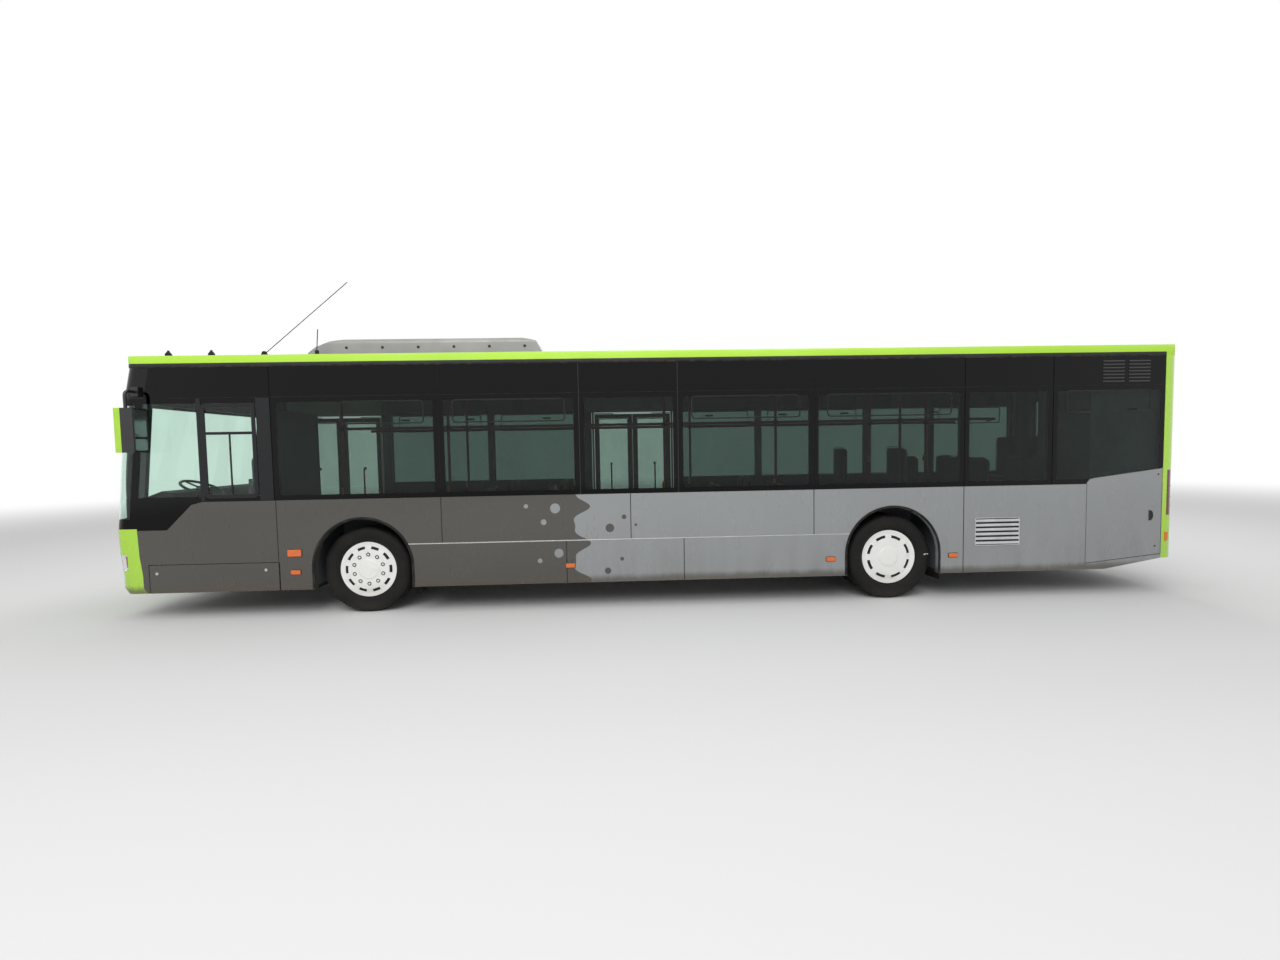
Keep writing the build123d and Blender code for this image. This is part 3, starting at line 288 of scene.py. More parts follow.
def livery_finish(name):
    """The two-tone paint of the sides, black above the belt line and pale lining inside."""
    paint = Paint(name, 0.28)
    x, y, z = paint.axes()
    edge = (z * 15.0).sine() * 0.085 + (z * 31.0 + 0.8).sine() * 0.032 + colour_edge_x
    ahead = (x > edge) | inside_dots(x, z, charcoal_dots)
    ahead = ahead * (1.0 - inside_dots(x, z, silver_dots))
    broad = paint.grain(0.7, 3.0).spread(0.35, 0.65)
    dark = broad.mixed(charcoal, dimmed(charcoal, 0.95))
    pale = broad.mixed(silver, dimmed(silver, 0.96))
    tone = road_film(paint, z, ahead.mixed(pale, dark), 0.295)
    tone = (z > (x < step_x) * 0.2 + 1.279).mixed(tone, gloss_black)
    tone = ((abs(y) < lining_y) * (z > sill_z)).mixed(tone, lining_grey)
    smear = paint.grain(3.0, 5.0, 0.6, (1.0, 1.0, 0.3))
    paint.set(base_color=tone, roughness=smear.spread(0.25, 0.75, 0.24, 0.32),
              coat_weight=0.5, coat_roughness=0.05)
    paint.pitted(paint.grain(1.4, 2.0), 0.12, 0.006)
    return paint


dress(livery_finish("two_tone_side"), "left_side_wall", "right_side_wall", "rear_left_flap",
      "front_left_flap")

# Joints of the side panels: a narrow bead of black sealant in each gap, pressed in nearly flush,
# and a bright aluminium drip moulding along the waist between the wheel arches.
side_y = 1.275
header_y = 1.2667
bead_w = 0.008
bead_out = 0.0015
moulding_w = 0.011
moulding_out = 0.004
skirt_z = 0.297
waist_z = 0.77
belt_z = 1.28
left_seams = [(4.215, skirt_z, belt_z), (2.445, waist_z, belt_z), (0.365, waist_z, belt_z),
              (1.085, skirt_z, waist_z), (-0.225, skirt_z, waist_z), (-1.695, waist_z, belt_z),
              (-3.415, skirt_z, belt_z)]
right_seams = [(3.99, 0.42, belt_z), (2.445, waist_z, belt_z), (1.00, skirt_z, belt_z),
               (-0.46, skirt_z, belt_z), (1.75, skirt_z, waist_z), (-1.695, waist_z, belt_z),
               (-1.20, skirt_z, waist_z), (-3.415, skirt_z, belt_z), (-4.435, waist_z, belt_z),
               (-4.435, skirt_z, waist_z)]


def new_piece(name, shape, paint, body="root", smooth=None):
    """An object from a bmesh or mesh, riding on a body, with its finish and material slot."""
    if isinstance(shape, bmesh.types.BMesh):
        bmesh.ops.recalc_face_normals(shape, faces=shape.faces)
        mesh = bpy.data.meshes.new(name)
        shape.to_mesh(mesh)
        shape.free()
    else:
        mesh = shape
        mesh.name = name
    if not mesh.materials:
        mesh.materials.append(paint.material)
    made = bpy.data.objects.new(name, mesh)
    bpy.context.scene.collection.objects.link(made)
    if smooth is not None:
        for face in mesh.polygons:
            face.use_smooth = True
        mesh.set_sharp_from_angle(angle=radians(smooth))
    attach(made, body)
    return made


def skin(shape, loops, closed=False):
    """Skins a form over loops of places; it closes on itself or is capped at both ends."""
    rings = [[shape.verts.new(place) for place in loop] for loop in loops]
    for lower, upper in zip(rings, rings[1:] + rings[:1] if closed else rings[1:]):
        for k in range(len(lower)):
            after = (k + 1) % len(lower)
            shape.faces.new((lower[k], lower[after], upper[after], upper[k]))
    if not closed:
        shape.faces.new(rings[0])
        shape.faces.new(rings[-1])


def side_map(y, way=1):
    """Maps (along, up) and a distance outwards to a place on a side of the bus."""
    def at(point, out=0.0):
        return Vector((point[0], y + way * out, point[1]))
    return at


def end_map(x, way=1):
    """Maps (across, up) and a distance outwards to a place on an end of the bus."""
    def at(point, out=0.0):
        return Vector((x + way * out, point[0], point[1]))
    return at


def top_map(z, way=1):
    """Maps (along, across) and a distance upwards to a place on a level surface."""
    def at(point, out=0.0):
        return Vector((point[0], point[1], z + way * out))
    return at


def add_bead(shape, path, width, at, proud):
    """A low strip with a crowned section along an open path."""
    section = ((-0.5, -0.3), (-0.5, 0.55), (-0.25, 1.0), (0.25, 1.0), (0.5, 0.55), (0.5, -0.3))
    rows = []
    for i, point in enumerate(path):
        way = (Vector(path[min(i + 1, len(path) - 1)]) - Vector(path[max(i - 1, 0)])).normalized()
        across = Vector((-way.y, way.x)) * width
        rows.append([at(tuple(Vector(point) + across * share), proud * out) for share, out in section])
    skin(shape, rows)


rubber_finish = plain_finish("black_rubber", shade(22, 22, 22), 0.66, scale=30, vary=0.15, relief=0.15,
                             dust=0.12)
rubber_finish.set(specular_ior_level=0.25)
trim_finish = plain_finish("bright_trim", shade(186, 187, 186), 0.4, 0.4, scale=12, vary=0.06,
                           relief=0.05, dust=0.15)
beads = bmesh.new()
for side, seams in ((1, left_seams), (-1, right_seams)):
    for x, low, high in seams:
        add_bead(beads, [(x, low), (x, high)], bead_w, side_map(side * side_y, side), bead_out)
    add_bead(beads, [(-5.72, 2.398), (5.30, 2.398)], 0.006, side_map(side * header_y, side), 0.0095)
new_piece("panel_beads", beads, rubber_finish)
mouldings = bmesh.new()
for side, low_x, high_x in ((1, -2.100, 2.812), (-1, -2.100, -0.47), (-1, 1.01, 2.812)):
    add_bead(mouldings, [(low_x, waist_z), (high_x, waist_z)], moulding_w, side_map(side * side_y, side),
             moulding_out)
new_piece("waist_mouldings", mouldings, trim_finish)

# Wheel arch edges and mud flaps: an extruded rubber lip clipped round each arch opening, and a
# ribbed rubber flap hung behind each wheel from the wheel box.
arch_z = 0.53
wheel_z = 0.4785
front_wheel_x = 3.31
rear_wheel_x = -2.60
lip_w = 0.026
lip_out = 0.008
lip_r = 0.525 + lip_w / 2
lips = bmesh.new()
for side in (1, -1):
    for centre in (front_wheel_x, rear_wheel_x):
        arc = [(centre + lip_r, 0.302), (centre + lip_r, 0.42)]
        arc += [(centre + lip_r * cos(pi * k / 48), arch_z + lip_r * sin(pi * k / 48)) for k in range(49)]
        arc += [(centre - lip_r, 0.42), (centre - lip_r, 0.302)]
        add_bead(lips, arc, lip_w, side_map(side * side_y, side), lip_out)
new_piece("arch_lips", lips, rubber_finish, smooth=50)


def ribbed_flap(name, centre_x, low_y, high_y, low_z):
    """A hanging rubber flap with moulded upright ribs on its rear face."""
    high_z = 0.46
    shape = bmesh.new()
    count = int((high_y - low_y) / 0.022)
    line = []
    for k in range(count + 1):
        line.append((centre_x - (0.006 if k % 2 else 0.0), low_y + (high_y - low_y) * k / count))
    line += [(centre_x + 0.008, y) for x, y in line[::-1]]
    loops = []
    for z in (low_z, (low_z + high_z) / 2, high_z):
        lean = 0.02 * (high_z - z) / (high_z - low_z)
        loops.append([(x - lean, y, z) for x, y in line])
    skin(shape, loops)
    new_piece(name, shape, rubber_finish)


for word, side in (("left", 1), ("right", -1)):
    ribbed_flap(f"front_{word}_mud_flap", 2.735, *sorted((side * 0.90, side * 1.20)), 0.21)
    ribbed_flap(f"rear_{word}_mud_flap", -3.172, *sorted((side * 0.62, side * 1.20)), 0.20)

# Side markers: amber reflector lamps in shallow moulded bases along the skirt, and a larger
# direction repeater near the front wheel or the front door. The lenses have crossed prism ribs.
marker_size = (0.112, 0.056)
repeater_size = (0.158, 0.085)
side_lamps = {1: [(4.035, 0.49), (1.045, 0.49), (-1.885, 0.49), (-3.295, 0.50), (4.040, 0.702)],
              -1: [(3.925, 0.49), (1.16, 0.49), (-1.885, 0.49), (-3.60, 0.49), (5.520, 0.702)]}


def shrunk(outline, inset):
    """A closed outline (points in order, anticlockwise) moved inwards by a distance."""
    count = len(outline)
    out = []
    for i in range(count):
        before, here, after = (Vector(outline[(i + k) % count]) for k in (-1, 0, 1))
        first = (here - before).normalized()
        second = (after - here).normalized()
        inwards = Vector((-first.y, first.x))
        turned = inwards + Vector((-second.y, second.x))
        if turned.length < 1e-6:
            turned = inwards.copy()
        turned.normalize()
        out.append(tuple(here + turned * inset / max(0.35, turned.dot(inwards))))
    return out


def round_corners(corners, r, steps):
    """An outline with every corner rounded."""
    count = len(corners)
    out = []
    for i in range(count):
        before, here, after = (Vector(corners[(i + k) % count]) for k in (-1, 0, 1))
        into = before - here
        away = after - here
        reach = min(r, into.length * 0.49, away.length * 0.49)
        start = here + into.normalized() * reach
        end = here + away.normalized() * reach
        for k in range(steps + 1):
            t = k / steps
            out.append(tuple(start * (1 - t) ** 2 + here * 2 * t * (1 - t) + end * t ** 2))
    return out


def box_outline(x0, x1, z0, z1):
    """An upright rectangle, anticlockwise, between two edges in either order."""
    low, high = sorted((x0, x1))
    return [(low, z0), (high, z0), (high, z1), (low, z1)]


def rounded(x0, x1, z0, z1, r, steps=3):
    """An upright rectangle with rounded corners, anticlockwise."""
    return round_corners(box_outline(x0, x1, z0, z1), r, steps)


def add_plate(shape, outline, at, low, high, chamfer):
    """A plate with a chamfered upper edge, between two heights above its surface."""
    skin(shape, [[at(p, low) for p in outline], [at(p, high - chamfer) for p in outline],
                 [at(p, high) for p in shrunk(outline, chamfer)]])


def lens_finish(name, colour, rough, ribs, glow):
    """Moulded lens plastic: clear colour over a ribbed back."""
    paint = Paint(name, rough)
    x, z = paint.axes()[::2]
    both = abs((x * ribs).sine()) * abs((z * ribs).sine())
    # The faint emission in the lens colour is a painted glow that brightens every lens of this finish, the
    # rear reflectors among them, which are no lamps.
    paint.set(base_color=both.mixed(dimmed(colour, 0.62), colour), coat_weight=1.0, coat_roughness=0.04,
              emission_color=colour, emission_strength=glow)
    paint.pitted(both, 0.3, 0.001)
    return paint


amber_finish = lens_finish("amber_lens", shade(242, 112, 8), 0.3, 700, 0.08)
marker_black = plain_finish("marker_base", shade(30, 30, 30), 0.5, scale=40, vary=0.1, relief=0.1)
lenses = bmesh.new()
bases = bmesh.new()
for side, spots in side_lamps.items():
    for x, z in spots:
        width, height = marker_size if z < 0.6 else repeater_size
        around = rounded(x - width / 2, x + width / 2, z - height / 2, z + height / 2, 0.008)
        add_plate(bases, around, side_map(side * side_y, side), -0.002, 0.005, 0.002)
        add_plate(lenses, shrunk(around, 0.005), side_map(side * side_y, side), 0.004, 0.013, 0.003)
new_piece("marker_lenses", lenses, amber_finish)
new_piece("marker_bases", bases, marker_black)

# Side windows: bonded panes of dark grey-green safety glass with a printed black border, set flush
# in a row. Some carry a tilting vent in a slim frame; the driver's pane slides in a frame of its own.
left_pane_edges = [4.225, 2.445, 0.915, -0.175, -1.695, -3.415, -4.435, -5.745]
right_pane_edges = [3.99, 2.445, 1.0, -0.46, -1.695, -3.415, -4.435, -5.745]
pane_top_z = 2.395
border_w = 0.055
tint = (0.20, 0.27, 0.245, 1.0)
clear_tint = (0.74, 0.88, 0.81, 1.0)


def glass_finish(name, tone, edges=(), clear_x=9.0):
    """Dark safety glass with a black printed border along the panes' edges, clearer beside the cab."""
    paint = Paint(name, 0.0)
    paint.set(ior=1.3, transmission_weight=1.0)
    x, z = paint.axes()[::2]
    faint = paint.grain(2.2, 5.0, 0.6, (1.0, 1.0, 0.4)).spread(0.35, 0.8, 0.0, 0.12)
    tone = faint.mixed((x > clear_x).mixed(tone, clear_tint), shade(70, 72, 70))
    if edges:
        near = (z < belt_z + border_w) | (z > pane_top_z - border_w)
        for edge in edges:
            near = near | (abs(x - edge) < border_w)
        tone = near.mixed(tone, shade(9, 9, 10))
    paint.set(base_color=tone)
    return paint


def add_rim(shape, outline, width, at, low, high, chamfer):
    """A raised frame along an outline, of a width inwards, with both upper edges chamfered."""
    rings = [(0.0, low), (0.0, high - chamfer), (chamfer, high), (width - chamfer, high),
             (width, high - chamfer), (width, low)]
    skin(shape, [[at(p, out) for p in (shrunk(outline, inset) if inset else outline)]
                 for inset, out in rings], closed=True)


dress(glass_finish("tinted_glass_left", tint, left_pane_edges, clear_x=4.2), "left_windows")
dress(glass_finish("tinted_glass_right", tint, right_pane_edges, clear_x=5.2), "right_windows")
frame_finish = plain_finish("vent_frame_black", shade(22, 23, 25), 0.34, scale=20, vary=0.1, relief=0.05,
                            coat=0.05)
frame_finish.set(specular_ior_level=0.3)
vent_frames = bmesh.new()
handles = bmesh.new()
left_vents = [(2.595, 3.495), (1.065, 2.295), (-1.545, -0.325), (-3.265, -1.845), (-5.58, -4.585)]
right_vents = [(2.595, 3.84), (1.15, 2.295), (-1.545, -0.61), (-3.265, -1.845), (-5.58, -4.585)]
for side, vents in ((1, left_vents), (-1, right_vents)):
    for low_x, high_x in vents:
        add_rim(vent_frames, rounded(low_x, high_x, 2.09, 2.345, 0.05, 5), 0.014,
                side_map(side * side_y, side), -0.004, 0.004, 0.002)
        for x in (low_x + 0.2, high_x - 0.2):
            add_plate(handles, rounded(x - 0.045, x + 0.045, 2.115, 2.135, 0.008),
                      side_map(side * 1.262, -side), 0.0, 0.018, 0.003)
driver_at = side_map(side_y)
add_rim(vent_frames, rounded(4.385, 4.955, 1.315, 2.335, 0.06, 5), 0.042, driver_at, -0.004, 0.006, 0.002)
for x0, x1, z0, z1, proud, chamfer in ((4.425, 4.915, 2.002, 2.032, 0.005, 0.002),
                                       (4.655, 4.673, 1.36, 2.006, 0.0045, 0.002),
                                       (4.230, 4.375, 1.29, 2.39, 0.002, 0.001),
                                       (4.955, 5.000, 1.29, 2.39, 0.003, 0.001)):
    add_plate(vent_frames, box_outline(x0, x1, z0, z1), driver_at, -0.003, proud, chamfer)
new_piece("vent_frames", vent_frames, frame_finish)
new_piece("vent_handles", handles, marker_black)

# Grille of the engine bay: pressed slats in a folded steel frame, low on the left behind the rear
# wheel, and two black louvred columns in one frame above the last pane that let the cooler breathe.


def repeat_tree():
    """Repeats its own shape a number of times, each copy moved and turned on from the last."""
    tree = bpy.data.node_groups.new("repeat_unit", "GeometryNodeTree")
    for word, kind in (("Unit", "Geometry"), ("Count", "Int"), ("Step", "Vector"), ("Turn", "Vector"),
                       ("Centre", "Vector"), ("Finish", "Material")):
        tree.interface.new_socket(word, in_out="INPUT", socket_type="NodeSocket" + kind)
    tree.interface.new_socket("Made", in_out="OUTPUT", socket_type="NodeSocketGeometry")
    given = tree.nodes.new("NodeGroupInput").outputs

    def node(kind, **inputs):
        made = tree.nodes.new(kind)
        for word, socket in inputs.items():
            tree.links.new(socket, made.inputs[word])
        return made

    line = node("GeometryNodeMeshLine", Count=given["Count"], Offset=given["Step"])
    turned = tree.nodes.new("ShaderNodeVectorMath")
    turned.operation = "SCALE"
    tree.links.new(given["Turn"], turned.inputs[0])
    tree.links.new(node("GeometryNodeInputIndex").outputs[0], turned.inputs["Scale"])
    copies = node("GeometryNodeInstanceOnPoints", Points=line.outputs[0], Instance=given["Unit"],
                  Rotation=turned.outputs[0])
    real = node("GeometryNodeRealizeInstances", Geometry=copies.outputs[0])
    moved = node("GeometryNodeTransform", Geometry=real.outputs[0], Translation=given["Centre"])
    painted = node("GeometryNodeSetMaterial", Geometry=moved.outputs[0], Material=given["Finish"])
    tree.links.new(painted.outputs[0], tree.nodes.new("NodeGroupOutput").inputs[0])
    return tree


repeating = repeat_tree()


def repeated(unit, paint, count, step=(0, 0, 0), turn=(0, 0, 0), centre=(0, 0, 0)):
    """The plain mesh of a unit repeated by the tree; the unit is a bmesh about the origin."""
    bmesh.ops.recalc_face_normals(unit, faces=unit.faces)
    mesh = bpy.data.meshes.new("unit")
    unit.to_mesh(mesh)
    unit.free()
    carrier = bpy.data.objects.new("unit", mesh)
    bpy.context.scene.collection.objects.link(carrier)
    modifier = carrier.modifiers.new("repeat", "NODES")
    modifier.node_group = repeating
    wanted = {"Count": count, "Step": step, "Turn": turn, "Centre": centre, "Finish": paint.material}
    for item in repeating.interface.items_tree:
        if item.in_out == "INPUT" and item.name in wanted:
            modifier[item.identifier] = wanted[item.name]
    bpy.context.view_layer.update()
    seen = carrier.evaluated_get(bpy.context.evaluated_depsgraph_get())
    made = bpy.data.meshes.new_from_object(seen)
    carrier.modifiers.remove(modifier)
    bpy.data.objects.remove(carrier)
    return made


def add_copy(shape, mesh, where=None):
    """A copy of a mesh added to a form, if wanted moved or turned."""
    copy = mesh.copy()
    if where is not None:
        copy.transform(where)
    shape.from_mesh(copy)
    bpy.data.meshes.remove(copy)


def slat_form(profile, half, at):
    """One slat about the origin, with a section of (up, out) and half its length."""
    form = bmesh.new()
    skin(form, [[at((end, z), out) for z, out in profile] for end in (-half, half)])
    return form


grille_x = (-4.065, -3.545)
grille_z = (0.60, 0.92)
louvre_z = (2.41, 2.705)
louvre_y = 1.2677
grille_steel = plain_finish("grille_steel", shade(198, 201, 203), 0.42, 0.1, scale=9, vary=0.08, dust=0.12)
# Flat near-black plates behind the slats and louvres, and in the slots and nut wells of the wheel covers, are
# painted shade for the depth behind them.
painted_shade_black = plain_finish("grille_shadow", shade(10, 10, 10), 0.8, scale=20, vary=0.2, relief=0.1)
header_at = side_map(header_y)
grille_outline = rounded(*grille_x, *grille_z, 0.02, 4)
back = bmesh.new()
add_plate(back, grille_outline, driver_at, -0.002, 0.001, 0.0005)
add_plate(back, box_outline(-5.70, -4.955, *louvre_z), header_at, -0.002, 0.003, 0.001)
new_piece("grille_shadow", back, painted_shade_black)
slat = slat_form([(-0.016, 0.001), (-0.018, 0.009), (-0.010, 0.012), (0.010, 0.005), (0.012, 0.001)],
                 (grille_x[1] - grille_x[0] - 0.016) / 2, side_map(0))
grille = bmesh.new()
add_copy(grille, repeated(slat, grille_steel, 6, step=(0, 0, 0.0510),
                          centre=(sum(grille_x) / 2, side_y, grille_z[0] + 0.0345)))
add_rim(grille, grille_outline, 0.008, driver_at, -0.002, 0.010, 0.002)
new_piece("left_bay_grille", grille, grille_steel, smooth=35)

louvre_finish = plain_finish("louvre_black", shade(26, 27, 28), 0.36, scale=14, vary=0.15, relief=0.1,
                             coat=0.3)
lip = slat_form([(-0.014, 0.002), (-0.010, 0.011), (-0.004, 0.012), (0.010, 0.004), (0.012, 0.002)],
                0.125, side_map(0))
column = repeated(lip, louvre_finish, 7, step=(0, 0, 0.038))
columns = bmesh.new()
for x in (-5.432, -5.130):
    add_copy(columns, column, Matrix.Translation((x, louvre_y, 2.443)))
add_rim(columns, rounded(-5.722, -4.942, 2.402, 2.716, 0.012), 0.028, header_at, 0.0, 0.0075, 0.002)
add_plate(columns, box_outline(-5.300, -5.262, *louvre_z), header_at, 0.0, 0.0072, 0.002)
new_piece("upper_louvres", columns, louvre_finish, smooth=30)

# Front mask: glass-fibre shell in lime gelcoat with a deep bumper edge, jointed to the sides by a
# dark gap. It carries the lamps, a blank number plate, a lower intake and the towing-eye bezel.
nose_x = 6.0
nose_bow = 20.0
nose_corner = 0.14


def bowed(tip_x, bow, corner, away):
    """Where a bowed end with rounded corners lies at a distance from the middle line."""
    half = side_y - corner
    middle_x = tip_x - bow + sqrt((bow - corner) ** 2 - half ** 2)
    if (away - half) * (bow - corner) < half * corner:
        return tip_x - bow + sqrt(bow ** 2 - away ** 2)
    return middle_x + sqrt(max(0.0, corner ** 2 - (away - half) ** 2))


def between(line, r):
    """The value at a place on a line of straight stretches, given as (place, value)."""
    for (r0, w0), (r1, w1) in zip(line, line[1:]):
        if r <= r1:
            return w0 + (w1 - w0) * max(0.0, r - r0) / (r1 - r0)
    return line[-1][1]


def front_back(z):
    """How far the front stands back at a height."""
    return between(((0.295, 0.075), (0.355, 0.035), (0.485, 0.035), (0.70, 0.010), (1.0, 0.0),
                    (2.395, 0.15), (2.73, 0.225)), z)


def front_map(point, out=0.0):
    """A place on the bowed front for (across, up), moved forward by a distance."""
    y, z = point
    return Vector((bowed(nose_x, nose_bow, nose_corner, abs(y)) - front_back(z) + out, y, z))


def gelcoat_finish(name, roof=False):
    """Polished lime gelcoat with faint orange peel, road dirt on the front and soot on the roof."""
    paint = Paint(name, 0.22)
    x, y, z = paint.axes()
    tone = paint.grain(0.9, 3.0).spread(0.35, 0.65).mixed(lime, dimmed(lime, 0.95))
    if roof:
        soot = paint.grain(1.6, 5.0).mixed(shade(196, 198, 196), shade(164, 165, 160))
        tone = (z > 2.885).mixed(tone, soot)
        tone = ((z < 2.768) * (x > -5.745)).mixed(tone, gloss_black)
        tone = ((abs(y) < lining_y) * (z < 2.78)).mixed(tone, lining_grey)
    else:
        tone = road_film(paint, z, tone, 0.295)
    low_rough = 0.48 if roof else 0.15
    smear = paint.grain(3.0, 5.0)
    paint.set(base_color=tone, roughness=smear.spread(0.25, 0.75, low_rough, low_rough + 0.17),
              coat_weight=0.0 if roof else 0.6, coat_roughness=0.04)
    paint.pitted(paint.grain(1.4, 2.0), 0.1, 0.006)
    return paint


dress(gelcoat_finish("lime_gelcoat_front"), "front_mask")
dress(frame_finish, "front_frame")
mask_black = bmesh.new()
# The black plate behind the intake slats stands in for the intake's dark opening: painted shade.
add_plate(mask_black, rounded(-0.33, 0.33, 0.372, 0.470, 0.02), front_map, -0.004, 0.002, 0.001)
for step_y in (-0.60, 0.60):
    add_rim(mask_black, rounded(step_y - 0.075, step_y + 0.075, 0.372, 0.468, 0.047, 6), 0.014,
            front_map, -0.004, 0.006, 0.002)


def round_line(middle, r, steps=20):
    """A circle as an outline, anticlockwise."""
    turns = [2 * pi * k / steps for k in range(steps)]
    return [(middle[0] + r * cos(turn_by), middle[1] + r * sin(turn_by)) for turn_by in turns]


add_rim(mask_black, round_line((-0.42, 0.42), 0.036, 28), 0.012, front_map, -0.003, 0.005, 0.002)
add_bead(mask_black, [(y / 20, 0.498) for y in range(-24, 25)], 0.010, front_map, 0.0015)
outline = [(y / 20, 0.735) for y in range(-19, 20)] + [(y / 20, 0.955) for y in range(19, -20, -1)]
add_bead(mask_black, outline + outline[:1], 0.008, front_map, 0.0012)
new_piece("mask_seams_and_intake", mask_black, rubber_finish)
intake_slat = bmesh.new()
add_plate(intake_slat, rounded(-0.32, 0.32, -0.008, 0.008, 0.006, 2), end_map(0), 0.0, 0.010, 0.003)
intake = repeated(intake_slat, louvre_finish, 4, step=(0, 0, 0.025), centre=(nose_x - 0.037, 0, 0.383))
new_piece("front_intake_slats", intake, louvre_finish)


def add_number_plate(name, at, middle_z, body="root"):
    """A blank number plate in a slim frame, on an end of the bus."""
    half_w, half_h, frame_w = 0.26, 0.055, 0.012
    face = rounded(-half_w, half_w, middle_z - half_h, middle_z + half_h, 0.012)
    outer = rounded(-half_w - frame_w, half_w + frame_w, middle_z - half_h - frame_w,
                    middle_z + half_h + frame_w, 0.014)
    shape = bmesh.new()
    add_plate(shape, face, at, 0.0, 0.008, 0.002)
    add_rim(shape, outer, frame_w, at, 0.0, 0.011, 0.002)
    new_piece(name, shape, plate_white, body)


plate_white = plain_finish("blank_plate", shade(222, 222, 214), 0.35, scale=14, vary=0.04, relief=0.05,
                           dust=0.1)
add_number_plate("front_number_plate", front_map, 0.630)

# Headlamps and front lamps: clear moulded covers over two chromed round reflectors and an amber
# corner, in grey plastic housings let into the corners of the mask.
cover_glass = Paint("lamp_cover", 0.03)
cover_glass.set(transmission_weight=1.0, ior=1.3,
                base_color=cover_glass.grain(6.0, 4.0).mixed((0.95, 0.96, 0.97, 1), (0.82, 0.84, 0.85, 1)))
dress(cover_glass, "headlamps")
chrome_finish = plain_finish("lamp_chrome", shade(225, 226, 228), 0.08, 1.0, scale=30, vary=0.03, relief=0.02)
housing_finish = plain_finish("lamp_housing", shade(128, 129, 126), 0.35, 0.4, scale=25, vary=0.1, relief=0.1)
lamp_low_z = 0.548
lamp_high_z = 0.722
lamp_middle_z = 0.635
lamp_inner_y = 0.82
lamp_back_x = 5.812


def add_bowl(shape, at, centre, rings, steps=28):
    """A round dish or knob on a surface; each ring is a radius and how far it stands out."""
    skin(shape, [[at(point, out) for point in round_line(centre, r, steps)] for r, out in rings])


def around_corner(side, inset, z):
    """Points round a front corner from the lamp's inner edge to its rear edge, set inwards."""
    half = side_y - nose_corner
    bow_x = nose_x - nose_bow
    middle_x = bow_x + sqrt((nose_bow - nose_corner) ** 2 - half ** 2)
    points = []
    for k in range(7):
        y = lamp_inner_y + 0.012 + (half - lamp_inner_y - 0.004) * k / 6
        points.append((bow_x + sqrt((nose_bow - inset) ** 2 - y ** 2) - front_back(z), y))
    for k in range(1, 11):
        turn_by = radians(4 + 82 * k / 10)
        x = middle_x + (nose_corner - inset) * cos(turn_by) - front_back(z)
        if x > lamp_back_x + 0.006:
            points.append((x, half + (nose_corner - inset) * sin(turn_by)))
    return [(x, side * y) for x, y in points]


housings = bmesh.new()
reflectors = bmesh.new()
indicators = bmesh.new()
for side in (1, -1):
    section = ((0.033, lamp_low_z + 0.004), (0.062, lamp_low_z + 0.012), (0.062, lamp_high_z - 0.012),
               (0.033, lamp_high_z - 0.004), (0.033, lamp_high_z - 0.001), (0.068, lamp_high_z - 0.002),
               (0.068, lamp_low_z + 0.002), (0.033, lamp_low_z + 0.001))
    edges = [[(x, y, z) for x, y in around_corner(side, inset, z)] for inset, z in section]
    skin(housings, list(zip(*edges)))
    for lamp_y in (0.905, 1.040):
        middle = (side * lamp_y, lamp_middle_z)
        add_bowl(reflectors, front_map, middle, [(0.018, -0.074), (0.040, -0.070), (0.054, -0.058),
                                                 (0.060, -0.040), (0.063, -0.040), (0.063, -0.076)])
        add_bowl(reflectors, front_map, middle, [(0.016, -0.074), (0.016, -0.052), (0.010, -0.046)], 16)
    outer, inner = (around_corner(side, inset, lamp_middle_z)[8:14] for inset in (0.036, 0.056))
    skin(indicators, [[(x, y, z) for x, y in outer + inner[::-1]] for z in (0.575, 0.695)])
    add_bowl(reflectors, front_map, (side * 0.60, 0.42),
             [(0.030, -0.003), (0.036, 0.003), (0.030, 0.006)], 20)
new_piece("headlamp_housings", housings, housing_finish)
new_piece("headlamp_reflectors", reflectors, chrome_finish, smooth=50)
new_piece("front_indicators", indicators, amber_finish)

# Windscreen and destination box: a single laminated screen bonded to the front frame, and above
# it a dark panel of the same glass with the unlit matrix of the destination display behind it.
screen_paint = Paint("windscreen_glass", 0.0)
screen_x, screen_z = screen_paint.axes()[::2]
edge_band = (screen_z < 1.105) | (screen_z > 2.335) | (screen_x + screen_z * 0.1075 < 5.885)
screen_paint.set(ior=1.3, transmission_weight=1.0,
                 base_color=edge_band.mixed((0.74, 0.86, 0.80, 1), shade(10, 10, 11)))
dress(screen_paint, "windscreen")
display_finish = Paint("display_glass", 0.14)
dot_y, dot_z = display_finish.axes()[1:]
dot_rate = 330.0
dot_grid = ((dot_y * dot_rate).sine() * (dot_z * dot_rate).sine()).spread(0.5, 0.9)
in_box = (abs(dot_y) < 0.78) * (dot_z > 2.47) * (dot_z < 2.67)
display_finish.set(base_color=(dot_grid * in_box).mixed(shade(12, 12, 13), shade(58, 56, 42)),
                   specular_ior_level=0.3)
dress(display_finish, "destination_display")

# Wipers: two painted steel arms on spindles at the foot of the windscreen, each with a long
# rubber blade in a bowed spring holder, parked side by side low on the glass.


def add_tube(shape, path, r, steps=8, closed=False):
    """A round bar along a path of places."""
    path = [Vector(place) for place in path]
    count = len(path)
    loops = []
    for i, here in enumerate(path):
        before = path[(i - 1) % count] if closed or i else here
        after = path[(i + 1) % count] if closed or i < count - 1 else here
        way = (after - before).normalized()
        helper = Vector((0, 0, 1)) if abs(way.z) < 0.9 else Vector((1, 0, 0))
        first = way.cross(helper).normalized()
        second = way.cross(first)
        loops.append([here + r * (x * first + y * second) for x, y in round_line((0, 0), 1, steps)])
    skin(shape, loops, closed)


